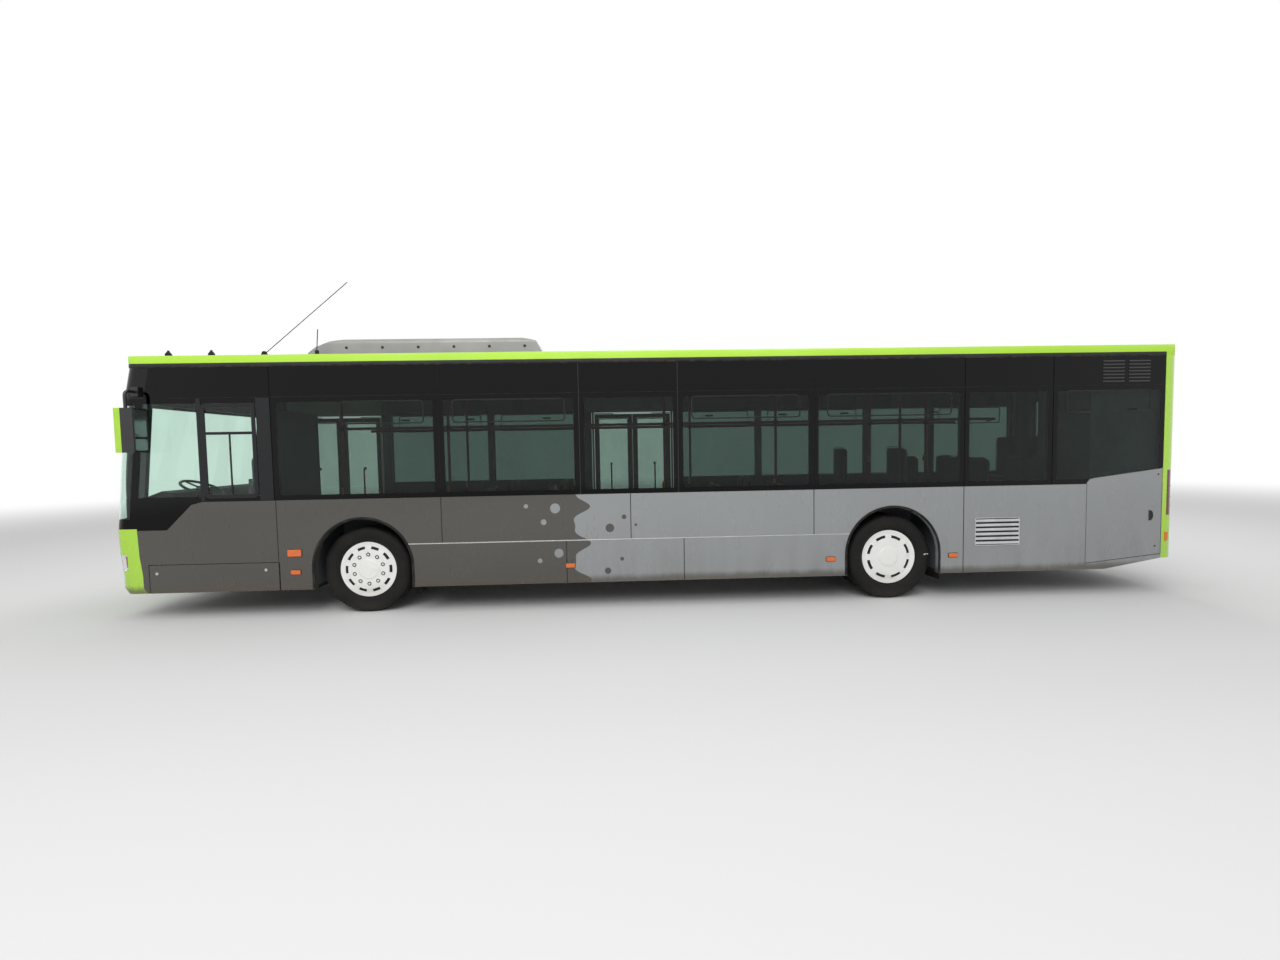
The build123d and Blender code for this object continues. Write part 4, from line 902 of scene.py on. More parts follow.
wipers = bmesh.new()
blades = bmesh.new()
for pivot_y in (0.62, -0.05):
    spindle = (pivot_y, 1.035)
    add_bowl(wipers, front_map, spindle,
             [(0.028, -0.002), (0.028, 0.020), (0.020, 0.034), (0.014, 0.050)], 18)
    bends = ((0.0, 1.035, 0.040), (0.12, 1.085, 0.045), (0.30, 1.155, 0.040), (0.46, 1.215, 0.030))
    add_tube(wipers, [front_map((pivot_y - along, z), out) for along, z, out in bends], 0.009)
    shares = [k / 12 for k in range(13)]
    add_tube(blades, [front_map((pivot_y - 0.02 - 0.90 * t, 1.135 + 0.145 * t), 0.013)
                      for t in shares], 0.006, 6)
    shares = [k / 8 for k in range(9)]
    add_tube(wipers, [front_map((pivot_y - 0.14 - 0.66 * t, 1.155 + 0.106 * t), 0.020 + 0.010 * sin(pi * t))
                      for t in shares], 0.005, 6)
new_piece("wiper_arms", wipers, marker_black, smooth=40)
new_piece("wiper_blades", blades, rubber_finish, smooth=40)

# Rear end: a glass-fibre wall in charcoal with lime corner posts wrapped round from the roof edge.
# The tall engine lid is hinged at its top and has a louvred cooling grille and two quarter-turn locks.
tail_x = -6.0
tail_bow = 9.0
tail_corner = 0.15
lid_grille = (0.02, 0.66, 0.615, 1.035)


def tail_at(point, out=0.0):
    """A place on the bowed rear wall for (across, up), moved outwards by a distance."""
    y, z = point
    return Vector((-bowed(-tail_x, tail_bow, tail_corner, abs(y)) - out, y, z))


rear_paint = Paint("charcoal_rear_shell", 0.28)
rear_x, rear_y, rear_z = rear_paint.axes()
rear_tone = ((abs(rear_y) > 1.19) | (rear_z > 2.72)).mixed(charcoal, lime)
rear_tone = ((rear_x > -5.9) * (abs(rear_y) < lining_y)).mixed(rear_tone, lining_grey)
rear_paint.set(base_color=road_film(rear_paint, rear_z, rear_tone, skirt_z), coat_weight=0.6,
               coat_roughness=0.05, roughness=rear_paint.grain(3.0, 5.0).spread(0.25, 0.75, 0.18, 0.36))
rear_paint.pitted(rear_paint.grain(1.3, 2.0), 0.1, 0.006)
dress(rear_paint, "rear_wall", "engine_lid")
dress(glass_finish("rear_window_glass", (0.20, 0.28, 0.25, 1.0)), "rear_window")

lid_slat = slat_form([(-0.015, 0.000), (-0.012, 0.011), (-0.006, 0.012), (0.012, 0.003), (0.013, 0.000)],
                     0.29, end_map(0, -1))
lid_parts = bmesh.new()
add_copy(lid_parts, repeated(lid_slat, louvre_finish, 11, step=(0, 0, 0.034), centre=(tail_x, 0.34, 0.655)))
add_rim(lid_parts, rounded(*lid_grille, 0.02, 4), 0.026, tail_at, -0.003, 0.009, 0.002)
new_piece("engine_lid_grille", lid_parts, louvre_finish, "engine_lid", smooth=35)
lid_trim = bmesh.new()
for lock_y in (-0.55, 0.55):
    add_bowl(lid_trim, tail_at, (lock_y, 0.63),
             [(0.026, -0.003), (0.026, 0.003), (0.020, 0.006), (0.012, 0.002)], 20)
pocket = rounded(-0.62, -0.40, 0.92, 0.99, 0.02, 4)
add_rim(lid_trim, pocket, 0.012, tail_at, -0.003, 0.006, 0.002)
new_piece("engine_lid_locks", lid_trim, marker_black, "engine_lid")
# Near-black plates behind the lid's grille slats and in the handle pocket are painted shade for the depth
# behind them.
lid_painted_shade = bmesh.new()
add_plate(lid_painted_shade, shrunk(box_outline(*lid_grille), 0.01), tail_at, -0.003, 0.0008, 0.0004)
add_plate(lid_painted_shade, shrunk(pocket, 0.004), tail_at, -0.003, 0.0006, 0.0003)
new_piece("engine_lid_grille_shadow", lid_painted_shade, painted_shade_black, "engine_lid")
add_number_plate("rear_number_plate", tail_at, 1.240, "engine_lid")

# Rear lamps: a tall cluster in each corner, parted by black bars into chambers for tail and stop,
# indicator, reversing and fog lamps, two high stop lamps beside the display box, and reflectors below.
lens_red = shade(150, 16, 20)
chamber_z = (1.005, 1.115, 1.235)
cluster_y = (1.068, 1.225)
bar_half = 0.006
lamp_shell = Paint("tail_lamp_lens", 0.12)
lamp_x, lamp_z = lamp_shell.axes()[::2]
lamp_tone = (lamp_z > chamber_z[2]).mixed(shade(214, 96, 20), lens_red)
lamp_tone = (lamp_z < chamber_z[1]).mixed(lamp_tone, shade(204, 206, 208))
lamp_tone = (lamp_z < chamber_z[0]).mixed(lamp_tone, lens_red)
# Where the lens wraps round onto the side, it is painted a darker red than at the back: painted shade on that
# side.
lamp_tone = (lamp_x > -5.905).mixed(lamp_tone, shade(104, 10, 14))
grooves = (lamp_z * 900.0).sine()
lamp_shell.set(base_color=grooves.spread(-1.0, 1.0, 0.0, 0.25).mixed(lamp_tone, shade(60, 12, 12)),
               coat_weight=0.35, coat_roughness=0.03)
lamp_shell.pitted(grooves, 0.2, 0.001)
dress(lamp_shell, "tail_lamps")
# This finish's faint emission is a painted glow, also on the rear reflectors, which are no lamps.
red_finish = lens_finish("red_lens", shade(176, 20, 24), 0.2, 700, 0.06)
lamp_bars = bmesh.new()
high_lamps = bmesh.new()
reflex = bmesh.new()
corner_markers = bmesh.new()
for side in (1, -1):
    for bar_z in chamber_z:
        bar = box_outline(side * cluster_y[0], side * cluster_y[1], bar_z - bar_half, bar_z + bar_half)
        add_plate(lamp_bars, bar, tail_at, -0.012, 0.0015, 0.001)
    add_plate(high_lamps, rounded(side * 0.93, side * 1.10, 2.48, 2.54, 0.015), tail_at, -0.003, 0.012, 0.004)
    add_plate(reflex, rounded(side * 0.86, side * 0.98, 0.60, 0.645, 0.008), tail_at, -0.002, 0.006, 0.002)
    add_plate(corner_markers, rounded(-5.818, -5.782, 0.61, 0.71, 0.008), side_map(side * side_y, side),
              -0.002, 0.008, 0.002)
new_piece("tail_lamp_bars", lamp_bars, marker_black)
new_piece("high_stop_lamps", high_lamps, red_finish)
new_piece("rear_reflectors", reflex, red_finish)
new_piece("rear_corner_markers", corner_markers, amber_finish)
rear_box = bmesh.new()
add_plate(rear_box, rounded(-0.42, 0.42, 2.43, 2.62, 0.03, 4), tail_at, -0.003, 0.004, 0.002)
add_rim(rear_box, rounded(-0.99, 0.99, 1.525, 2.415, 0.06, 5), 0.018, tail_at, -0.003, 0.003, 0.001)
for seam in ((-0.804, -0.796, 0.53, 1.47), (0.796, 0.804, 0.53, 1.47), (-1.02, 1.02, 0.500, 0.508)):
    add_plate(rear_box, box_outline(*seam), tail_at, -0.003, 0.0012, 0.0005)
new_piece("rear_display_and_seams", rear_box, display_finish)

# Flap fittings: two quarter-turn locks of bright metal on the flap under the driver's window, and a
# black ring handle and two black screws on the flap behind the rear wheel.
flap_locks = bmesh.new()
for lock_at in ((5.513, 0.509), (4.356, 0.523)):
    add_bowl(flap_locks, driver_at, lock_at,
             [(0.016, -0.003), (0.016, 0.002), (0.012, 0.004), (0.006, 0.001)], 18)
new_piece("front_flap_locks", flap_locks, trim_finish, "front_left_flap")
ring_line = [(-5.605 + 0.034 * cos(radians(a)), 0.905 + 0.058 * sin(radians(a))) for a in range(90, 271, 15)]
ring_line += [(-5.588, 0.847), (-5.588, 0.963)]
ring_handle = bmesh.new()
add_rim(ring_handle, ring_line, 0.010, driver_at, -0.003, 0.007, 0.003)
add_plate(ring_handle, shrunk(ring_line, 0.009), driver_at, -0.003, 0.001, 0.0005)
for screw_at in ((-5.69, 1.375), (-5.67, 0.55)):
    add_bowl(ring_handle, driver_at, screw_at, [(0.010, -0.003), (0.010, 0.002), (0.005, 0.003)], 14)
new_piece("rear_flap_handle", ring_handle, marker_black, "rear_left_flap")

# Roof: sheet skin between lime cant panels, with two tilting hatches in pale plastic, a black rubber
# line under the cant rail, and the long fairing of the air conditioner held by dark quarter-turn pins.
dress(gelcoat_finish("lime_and_grey_roof", roof=True), "roof")
dress(plain_finish("hatch_plastic", shade(206, 208, 206), 0.3, scale=7, vary=0.08, relief=0.15, dust=0.35),
      "roof_hatches")
pod_paint = Paint("satin_dark_silver", 0.4, 0.25)
pod_tone = pod_paint.grain(1.2, 5.0).spread(0.3, 0.7).mixed(shade(160, 160, 157), shade(142, 142, 139))
pod_patch = pod_paint.grain(4.0, 5.0).spread(0.4, 0.8, 0.0, 0.35)
pod_soot = pod_paint.axes()[2].spread(3.06, 3.105) * pod_patch
pod_paint.set(base_color=pod_soot.mixed(pod_tone, dust_tone),
              roughness=pod_paint.grain(5.0, 4.0).spread(0.3, 0.7, 0.34, 0.5))
pod_paint.pitted(pod_paint.grain(0.9, 2.0), 0.12, 0.008)
dress(pod_paint, "air_conditioner_pod")
pod_rear_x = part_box("air_conditioner_pod")[0][0]
pod_side_y = 0.800
pod_top_z = 3.105
pin_r = 0.017
pod_pin = bmesh.new()
add_bowl(pod_pin, top_map(0), (0, 0), [(pin_r, -0.003), (pin_r, 0.002), (0.013, 0.004), (0.007, 0.001)], 14)
pin_row = repeated(pod_pin, marker_black, 6, step=(0.41, 0, 0))
pod_pins = bmesh.new()
for side in (1, -1):
    place = Matrix.Translation((pod_rear_x + 0.21, side * pod_side_y, 3.0))
    add_copy(pod_pins, pin_row, place @ Matrix.Rotation(-side * pi / 2, 4, "X"))
for seam_x in (0.62, 1.30, 1.98):
    add_bead(pod_pins, [(pod_rear_x + seam_x, -0.735 + 1.47 * k / 10) for k in range(11)], 0.010,
             top_map(pod_top_z), 0.0)
new_piece("pod_pins_and_seams", pod_pins, marker_black)

fan_guard = bmesh.new()
for ring_r in (0.06, 0.115, 0.17, 0.225):
    add_tube(fan_guard, [(x, y, 0) for x, y in round_line((0, 0), ring_r, 32)], 0.004, 5, closed=True)
for k in range(4):
    spoke = Vector((cos(k * pi / 4), sin(k * pi / 4), 0)) * 0.235
    add_tube(fan_guard, [-spoke, spoke], 0.004, 5)
fan_units = repeated(fan_guard, marker_black, 4, step=(0.56, 0, 0), centre=(1.85, 0, 3.098))
new_piece("pod_fan_guards", fan_units, marker_black, smooth=60)

cant_rubber = bmesh.new()
for side in (1, -1):
    path = [(-5.70 + 11.27 * k / 60, 2.730) for k in range(61)]
    add_bead(cant_rubber, path, 0.018, side_map(side * (side_y + 0.0005), side), 0.003)
new_piece("cant_rail_rubber", cant_rubber, rubber_finish)

# Aerials: a long steel whip on a rubber foot over the driver and a short rod behind it, with two
# small black domes on the front of the roof.
dress(rubber_finish, "radio_aerial")
aerial_y = 0.95
roof_r = 7.0
roof_top_z = 2.965
aerial_z = roof_top_z - (roof_r - sqrt(roof_r ** 2 - aerial_y ** 2))
aerials = bmesh.new()
add_bowl(aerials, top_map(aerial_z), (4.45, aerial_y),
         [(0.034, -0.008), (0.033, 0.010), (0.026, 0.024), (0.023, 0.036), (0.012, 0.044)], 20)
rod = Vector((3.87, aerial_y, aerial_z - 0.004))
add_tube(aerials, [rod, rod + Vector((0, 0, 0.05))], 0.022, 14)
add_tube(aerials, [rod + Vector((0, 0, 0.045)), rod + Vector((-0.02, 0, 0.285))], 0.005, 8)
for dome_x in (5.50, 5.03):
    add_bowl(aerials, top_map(aerial_z), (dome_x, aerial_y),
             [(0.034, -0.006), (0.033, 0.020), (0.022, 0.038), (0.012, 0.050), (0.010, 0.062)], 18)
new_piece("aerials", aerials, rubber_finish, smooth=40)

# Mirrors: moulded housings on tube arms under the roof's front corners, black behind and lime in
# front of a seam, each with a tall main glass and a small wide-angle one below it.
mirror_paint = Paint("mirror_housing", 0.42)
mirror_x, mirror_y, mirror_z = mirror_paint.axes()
shell_share = (mirror_x > 5.594) * (mirror_z < 2.2852) * (abs(mirror_y) > 1.3295)
mirror_cloud = mirror_paint.grain(9.0, 4.0).spread(0.3, 0.7)
mirror_black = mirror_cloud.mixed(shade(20, 20, 21), shade(27, 27, 28))
mirror_lime = mirror_cloud.mixed(lime, dimmed(lime, 0.94))
mirror_paint.set(base_color=shell_share.mixed(mirror_black, mirror_lime), coat_weight=0.3)
mirror_paint.pitted(mirror_paint.grain(260.0, 2.0), 0.1, 0.0004)
dress(mirror_paint, "mirrors")
mirror_glass = plain_finish("silvered_glass", shade(200, 206, 208), 0.02, 1.0, scale=5, vary=0.03, relief=0.0)
mirror_at = end_map(5.467, -1)
glass_frames = bmesh.new()
glasses = bmesh.new()
for side in (1, -1):
    inner_y, outer_y = side * 1.334, side * 1.506
    add_rim(glass_frames, rounded(inner_y, outer_y, 1.829, 2.281, 0.012), 0.010, mirror_at,
            -0.002, 0.007, 0.003)
    inner_y, outer_y = side * 1.344, side * 1.496
    for low_z, high_z in ((1.985, 2.268), (1.845, 1.965)):
        add_plate(glasses, rounded(inner_y, outer_y, low_z, high_z, 0.03, 4), mirror_at,
                  -0.004, 0.0012, 0.0008)
new_piece("mirror_glass_frames", glass_frames, marker_black, smooth=35)
new_piece("mirror_glasses", glasses, mirror_glass)

# Tyres: ribbed all-season bus tyres, black rubber with a shoulder of cross cuts, four straight
# grooves round the tread and a raised bead line on the sidewall.
tyre_paint = Paint("tyre_rubber", 0.68)
tyre_broad = tyre_paint.grain(5.0, 4.0)
tyre_tone = tyre_broad.spread(0.35, 0.7).mixed(shade(24, 24, 24), shade(38, 37, 35))
tyre_dust = tyre_paint.axes()[2].spread(0.16, 0.0, 0.0, 0.5)
tyre_paint.set(base_color=tyre_dust.mixed(tyre_tone, shade(66, 61, 54)), specular_ior_level=0.18,
               roughness=tyre_broad.spread(0.3, 0.7, 0.58, 0.8))
tyre_paint.pitted(tyre_paint.grain(160.0, 2.0), 0.25, 0.0006)
# side, centre x, middles of the tyres from outside in, body and node of each corner
wheel_sets = {
    "front_left": (1, front_wheel_x, (1.050,), "front_left_wheel", "front_left_tyre"),
    "front_right": (-1, front_wheel_x, (1.050,), "front_right_wheel", "front_right_tyre"),
    "rear_left": (1, rear_wheel_x, (1.069, 0.761), "rear_left_wheels", "rear_left_tyres"),
    "rear_right": (-1, rear_wheel_x, (1.069, 0.761), "rear_right_wheels", "rear_right_tyres"),
}
# radius, and how far from the tyre's middle plane, from the rim to the middle of the tread
half_profile = [(0.290, 0.092), (0.309, 0.0925), (0.311, 0.0955), (0.316, 0.0965), (0.319, 0.1000),
                (0.335, 0.1200), (0.345, 0.1255), (0.3475, 0.1285), (0.3505, 0.1275), (0.360, 0.1310),
                (0.390, 0.1373), (0.412, 0.1370), (0.420, 0.1362), (0.4225, 0.1375), (0.4260, 0.1358),
                (0.430, 0.1352), (0.450, 0.1262), (0.462, 0.1180), (0.4685, 0.104), (0.4690, 0.074),
                (0.4785, 0.073), (0.4785, 0.028), (0.4690, 0.027), (0.4690, 0.017), (0.4785, 0.016)]
lug_count = 84
lug_half = 0.0125
lug_edge = [(0.4785, 0.0765), (0.4783, 0.0965), (0.4722, 0.1120), (0.4560, 0.1240), (0.4500, 0.1225),
            (0.4660, 0.1020), (0.4670, 0.0765)]


def wheel_at(centre, side):
    """Maps (angle, radius) on a wheel, and how far out of its middle plane, to a place."""
    def at(point, out=0.0):
        turn_by, r = point
        return Vector((centre[0] + r * cos(turn_by), centre[1] + side * out, centre[2] + r * sin(turn_by)))
    return at


def add_ring(shape, at, rings, steps=96):
    """A closed band turned round a wheel; each ring is a radius and how far out it lies."""
    turns = [2 * pi * k / steps for k in range(steps)]
    skin(shape, [[at((turn_by, r), out) for turn_by in turns] for r, out in rings], closed=True)


for corner, (side, centre_x, middles, body, node) in wheel_sets.items():
    tread = bmesh.new()
    for middle_y in middles:
        centre = (centre_x, side * middle_y, wheel_z)
        lug = bmesh.new()
        for flank in (1, -1):
            skin(lug, [[(across + flank * 0.004, flank * y, r) for r, y in lug_edge]
                       for across in (-lug_half, lug_half)])
        add_copy(tread, repeated(lug, tyre_paint, lug_count, turn=(0, 2 * pi / lug_count, 0), centre=centre))
        add_ring(tread, wheel_at(centre, side), half_profile + [(r, -out) for r, out in half_profile[::-1]])
    made = new_piece(f"{corner}_treaded_tyre", tread, tyre_paint, body, smooth=32)
    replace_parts(made, node)


def tyre_out(r):
    """How far out the sidewall lies at a radius."""
    return between(((0.390, 0.1373), (0.412, 0.1370), (0.430, 0.1352), (0.450, 0.1262), (0.462, 0.1180)), r)


mark_turn = pi - 0.06
mark_at = wheel_at((rear_wheel_x, 1.069, wheel_z), 1)
mark = [(0.395, -0.006), (0.425, -0.007), (0.452, -0.006), (0.452, 0.006), (0.425, 0.007), (0.395, 0.006)]
chalk_mark = bmesh.new()
skin(chalk_mark, [[mark_at((mark_turn + across / r, r), tyre_out(r) + out) for r, across in mark]
                  for out in (-0.002, 0.0022)])
chalk_paint = plain_finish("white_tyre_mark", shade(226, 226, 222), 0.8, scale=60, vary=0.1, relief=0.2)
new_piece("tyre_paint_mark", chalk_mark, chalk_paint, "rear_left_wheels")

# Wheel covers: white plastic discs clipped over steel rims. The front ones show ten nuts in dark
# wells and ten slots near the rim, the rear ones eight curved slots round a raised middle.
cover_paint = Paint("white_cover_plastic", 0.34)
cover_y, cover_z = cover_paint.axes()[1:]
soil = cover_paint.grain(7.0, 5.0).spread(0.5, 0.8, 0.0, 0.25)
low_soil = cover_z.spread(0.34, 0.20) * 0.35
cover_tone = (soil | low_soil).mixed(shade(244, 244, 241), shade(196, 192, 182))
cover_face_y = 1.124
cover_paint.set(base_color=(abs(cover_y) > cover_face_y).mixed(shade(132, 133, 132), cover_tone),
                roughness=cover_paint.grain(12.0, 3.0).spread(0.3, 0.7, 0.28, 0.42))
cover_paint.pitted(cover_paint.grain(3.0, 2.0), 0.1, 0.002)
dress(cover_paint, "front_left_rim", "front_right_rim", "rear_left_rims", "rear_right_rims")
slot_w = 0.031
nut_at = (0, 0.165)
nut_r = 0.0130
well_r = 0.0225


def cover_at(side):
    """Maps (across, up) on a cover centred at the origin to a place, following its face."""
    face = ((0.0, 0.104), (0.100, 0.104), (0.120, 0.096), (0.215, 0.096), (0.282, 0.084))

    def at(point, out=0.0):
        return Vector((point[0], side * (between(face, sqrt(point[0] ** 2 + point[1] ** 2)) + out), point[1]))
    return at


def bent_slot(r, reach, middle):
    """The outline of a slot that follows a circle about the origin, rounded at both ends."""
    turns = [middle + reach / r * (0.5 - k / 8) for k in range(9)]
    outer = [((r + slot_w / 2) * sin(turn_by), (r + slot_w / 2) * cos(turn_by)) for turn_by in turns]
    inner = [((r - slot_w / 2) * sin(turn_by), (r - slot_w / 2) * cos(turn_by)) for turn_by in turns[::-1]]
    return round_corners(outer + inner, 0.0025, 2)


for corner, (side, centre_x, middles, body, node) in wheel_sets.items():
    at = cover_at(side)
    front = corner.startswith("front")
    count, slot_r, reach, cap_r = (10, 0.243, 0.084, 0.052) if front else (8, 0.234, 0.112, 0.088)
    centre = (centre_x, side * middles[0], wheel_z)
    step_turn = (0, 2 * pi / count, 0)
    holes = bmesh.new()
    frames = bmesh.new()
    slot = bent_slot(slot_r, reach, pi / count)
    # The slots and the nut wells are floored with near-black plates: painted shade for the depth inside them.
    add_plate(holes, slot, at, -0.003, 0.0008, 0.0004)
    add_rim(frames, shrunk(slot, -0.004), 0.0045, at, -0.003, 0.0028, 0.0012)
    if front:
        add_plate(holes, round_line(nut_at, well_r), at, -0.003, 0.0008, 0.0004)
        add_rim(frames, round_line(nut_at, well_r + 0.0045), 0.0045, at, -0.003, 0.0028, 0.0012)
        add_plate(frames, round_line(nut_at, nut_r, 6), at, -0.003, 0.0060, 0.0025)
    new_piece(f"{corner}_cover_slots", repeated(holes, painted_shade_black, count, turn=step_turn, centre=centre),
              painted_shade_black, body)
    relief = bmesh.new()
    add_copy(relief, repeated(frames, cover_paint, count, turn=step_turn, centre=centre))
    face_at = wheel_at(centre, side)
    add_ring(relief, face_at, [(0.279, 0.083), (0.279, 0.0875), (0.2835, 0.0885), (0.287, 0.083)], 72)
    add_ring(relief, face_at, [(cap_r - 0.004, 0.1035), (cap_r - 0.003, 0.1062), (cap_r + 0.001, 0.1062),
                               (cap_r + 0.003, 0.1035)], 48)
    new_piece(f"{corner}_cover_relief", relief, cover_paint, body, smooth=35)

# Doors: aluminium leaves in black with tall bonded panes, rubber fingers on their meeting edges and
# a hand rail inside. Each hangs on a turning stainless post by an arm under and one over the leaf.
leaf_finish = plain_finish("door_frame_black", shade(27, 28, 29), 0.36, scale=14, vary=0.12, relief=0.08,
                           dust=0.2, coat=0.3)
steel_finish = plain_finish("brushed_post_steel", shade(176, 178, 180), 0.3, 0.9, scale=50, vary=0.1,
                            relief=0.1)
door_clear = glass_finish("door_glass", (0.70, 0.82, 0.76, 1.0))
rail_red = plain_finish("coral_rail_paint", shade(186, 52, 60), 0.36, scale=18, vary=0.08, relief=0.08,
                        coat=0.4)
door_sets = [("front", 4.07, 5.33), ("middle", -0.36, 0.90)]
rail_foot_z = 0.95
rail_head_z = 1.555
button_z = 1.35
leaf_low_z, leaf_high_z = 0.375, 2.315
pane_low_z, pane_high_z = 0.455, 2.255
stile_w = 0.060
inner_y = -1.236
outside_at = side_map(-side_y, -1)
door_trim = bmesh.new()
for door, rear_jamb, front_jamb in door_sets:
    for end, jamb, run in (("rear", rear_jamb, 1), ("front", front_jamb, -1)):
        name = f"{door}_door_{end}"
        dress(leaf_finish, f"{name}_leaf")
        dress(door_clear, f"{name}_glass")
        dress(steel_finish, f"{name}_post")
        lead_x = (rear_jamb + front_jamb) / 2 - run * 0.007
        trail_x = jamb + run * 0.045
        seal = bmesh.new()
        finger = rounded(lead_x, lead_x + run * 0.005, leaf_low_z, leaf_high_z, 0.002, 2)
        add_plate(seal, finger, side_map(-1.252, -1), -0.012, 0.020, 0.002)
        pane = rounded(lead_x - run * stile_w, trail_x + run * stile_w, pane_low_z, pane_high_z, 0.03, 4)
        add_rim(seal, pane, 0.012, outside_at, -0.003, 0.003, 0.001)
        new_piece(f"{name}_rubber", seal, rubber_finish, f"{name}_leaf")
        rail_x = (lead_x + trail_x) / 2 - run * 0.04
        bends = ((0.0, rail_foot_z), (0.035, 0.955), (0.045, 0.985), (0.045, 1.52), (0.035, 1.55),
                 (0.0, rail_head_z))
        hand_rail = bmesh.new()
        add_tube(hand_rail, [(rail_x, inner_y + inwards, z) for inwards, z in bends], 0.012, 12)
        for end_z in (rail_foot_z, rail_head_z):
            add_plate(hand_rail, round_line((rail_x, end_z), 0.022, 16), side_map(-1.2352), 0.0, 0.006, 0.002)
        new_piece(f"{name}_hand_rail", hand_rail, rail_red, f"{name}_leaf", smooth=50)
        button_line = round_line((jamb - run * 0.08, button_z), 0.034, 24)
        add_rim(door_trim, button_line, 0.008, outside_at, -0.002, 0.006, 0.002)
        add_plate(door_trim, shrunk(button_line, 0.010), outside_at, -0.002, 0.004, 0.002)
    add_rim(door_trim, rounded(rear_jamb + 0.01, front_jamb - 0.01, 0.296, 0.338, 0.006), 0.006, outside_at,
            -0.002, 0.003, 0.001)
new_piece("door_buttons_and_sills", door_trim, grille_steel)
drive_grey = plain_finish("door_drive_cover", shade(172, 174, 172), 0.45, scale=10, vary=0.08, relief=0.12,
                          dust=0.1)
dress(drive_grey, "door_drives")

# Passenger seats: moulded grey shells on cantilever feet, each with a stuffed cushion and back pad in
# dark flecked moquette. One pad of each kind is filled by a cloth simulation and copied to its places.
moquette = Paint("flecked_moquette", 0.92)
thread_rate = 2400.0
cloth_x, cloth_y, cloth_z = moquette.axes()
weave = (cloth_y * thread_rate).sine() * ((cloth_x + cloth_z) * thread_rate).sine()
fleck_share = moquette.value("TexVoronoi", "Distance", Vector=moquette.place, Scale=34.0) < 0.22
fleck_tone = (moquette.grain(9.0, 2.0) > 0.52).mixed(shade(38, 92, 104), shade(132, 44, 48))
cloth_tone = weave.spread(-1.0, 1.0).mixed(shade(34, 38, 50), shade(50, 55, 70))
worn = moquette.grain(3.0, 4.0).spread(0.45, 0.75, 0.0, 0.3)
moquette.set(base_color=worn.mixed(fleck_share.mixed(cloth_tone, fleck_tone), shade(84, 86, 94)),
             sheen_weight=0.35, sheen_roughness=0.5)
moquette.pitted(weave, 0.5, 0.0008)


def pad_block(wide, deep, thick, crown, corner):
    """The starting form of a pad about its middle, lying flat with its crowned face up."""
    plan = rounded(-wide / 2, wide / 2, -deep / 2, deep / 2, corner, 6)
    shape = bmesh.new()
    rings = [(0.010, 0.0), (0.0, 0.010), (0.0, thick * 0.62), (0.008, thick * 0.86), (0.024, thick),
             (0.070, thick + crown * 0.6), (0.120, thick + crown)]
    skin(shape, [[(x, y, z) for x, y in shrunk(plan, inset)] for inset, z in rings])
    bmesh.ops.recalc_face_normals(shape, faces=shape.faces)
    return shape


def seen_mesh(pad):
    """A pad's mesh as its modifiers leave it at this moment."""
    return bpy.data.meshes.new_from_object(pad.evaluated_get(bpy.context.evaluated_depsgraph_get()))


def stuffed(shape, voxel, most, channels=()):
    """A pad swollen by cloth under pressure, its movement capped, with sewn channels pressed in."""
    mesh = bpy.data.meshes.new("pad")
    shape.to_mesh(mesh)
    shape.free()
    pad = bpy.data.objects.new("pad", mesh)
    bpy.context.scene.collection.objects.link(pad)
    even = pad.modifiers.new("even", "REMESH")
    even.mode = "VOXEL"
    even.voxel_size = voxel
    start = seen_mesh(pad)
    pad.modifiers.remove(even)
    pad.data = start
    before = [v.co.copy() for v in start.vertices]
    swollen = start.copy()
    cloth = pad.modifiers.new("fill", "CLOTH")
    cloth.settings.use_pressure = True
    cloth.settings.uniform_pressure_force = 4.0
    cloth.settings.effector_weights.gravity = 0.0
    cloth.settings.quality = 5
    cloth.point_cache.frame_start = 1
    cloth.point_cache.frame_end = 20
    for step in range(1, 21):
        bpy.context.scene.frame_set(step)
    swollen = seen_mesh(pad)
    pad.modifiers.remove(cloth)
    bpy.context.scene.frame_set(1)
    for vert, old in zip(swollen.vertices, before):
        moved = vert.co - old
        if moved.length > most:
            vert.co = old + moved.normalized() * most
        if vert.co.z > 0.02:
            for along in channels:
                vert.co.z -= 0.007 * exp(-((vert.co.y - along) / 0.016) ** 2)
    pad.data = swollen
    finer = pad.modifiers.new("finer", "SUBSURF")
    finer.levels = 1
    finer.render_levels = 1
    made = seen_mesh(pad)
    bpy.data.objects.remove(pad)
    return made


def piping(wide, deep, corner, z):
    """The sewn cord round a pad's upper edge, about the pad's middle."""
    plan = rounded(-wide / 2, wide / 2, -deep / 2, deep / 2, corner, 5)
    shape = bmesh.new()
    add_tube(shape, [(x, y, z) for x, y in shrunk(plan, 0.006)], 0.004, 6, closed=True)
    mesh = bpy.data.meshes.new("cord")
    shape.to_mesh(mesh)
    shape.free()
    return mesh


seat_wide = 0.425
seat_deep = 0.43
pad_wide = seat_wide - 0.02
pad_deep = seat_deep - 0.03
back_tall = 0.56
sewn_y = (-0.11, 0.11)
aisle_floor_z = 0.34
rear_floor_z = 0.60
shell_up = 0.35
bench_up = 0.018
last_row_up = 0.038
bench_z = 1.1003
last_row_z = 1.1803
cushion_mesh = stuffed(pad_block(pad_deep, pad_wide, 0.040, 0.006, 0.05), 0.026, 0.006, sewn_y)
back_mesh = stuffed(pad_block(back_tall, pad_wide, 0.030, 0.006, 0.06), 0.026, 0.006, sewn_y)
cushion_cord = piping(pad_deep, pad_wide, 0.05, 0.030)
back_cord = piping(back_tall, pad_wide, 0.06, 0.022)
pair_rows = [(back_x, 0.77, aisle_floor_z) for back_x in (2.06, 1.33, -0.62, -1.33)]
pair_rows += [(back_x, -0.77, aisle_floor_z) for back_x in (2.06, 1.33, -1.33)]
pair_rows += [(back_x, y, rear_floor_z) for y in (0.77, -0.77) for back_x in (-3.70, -4.48)]
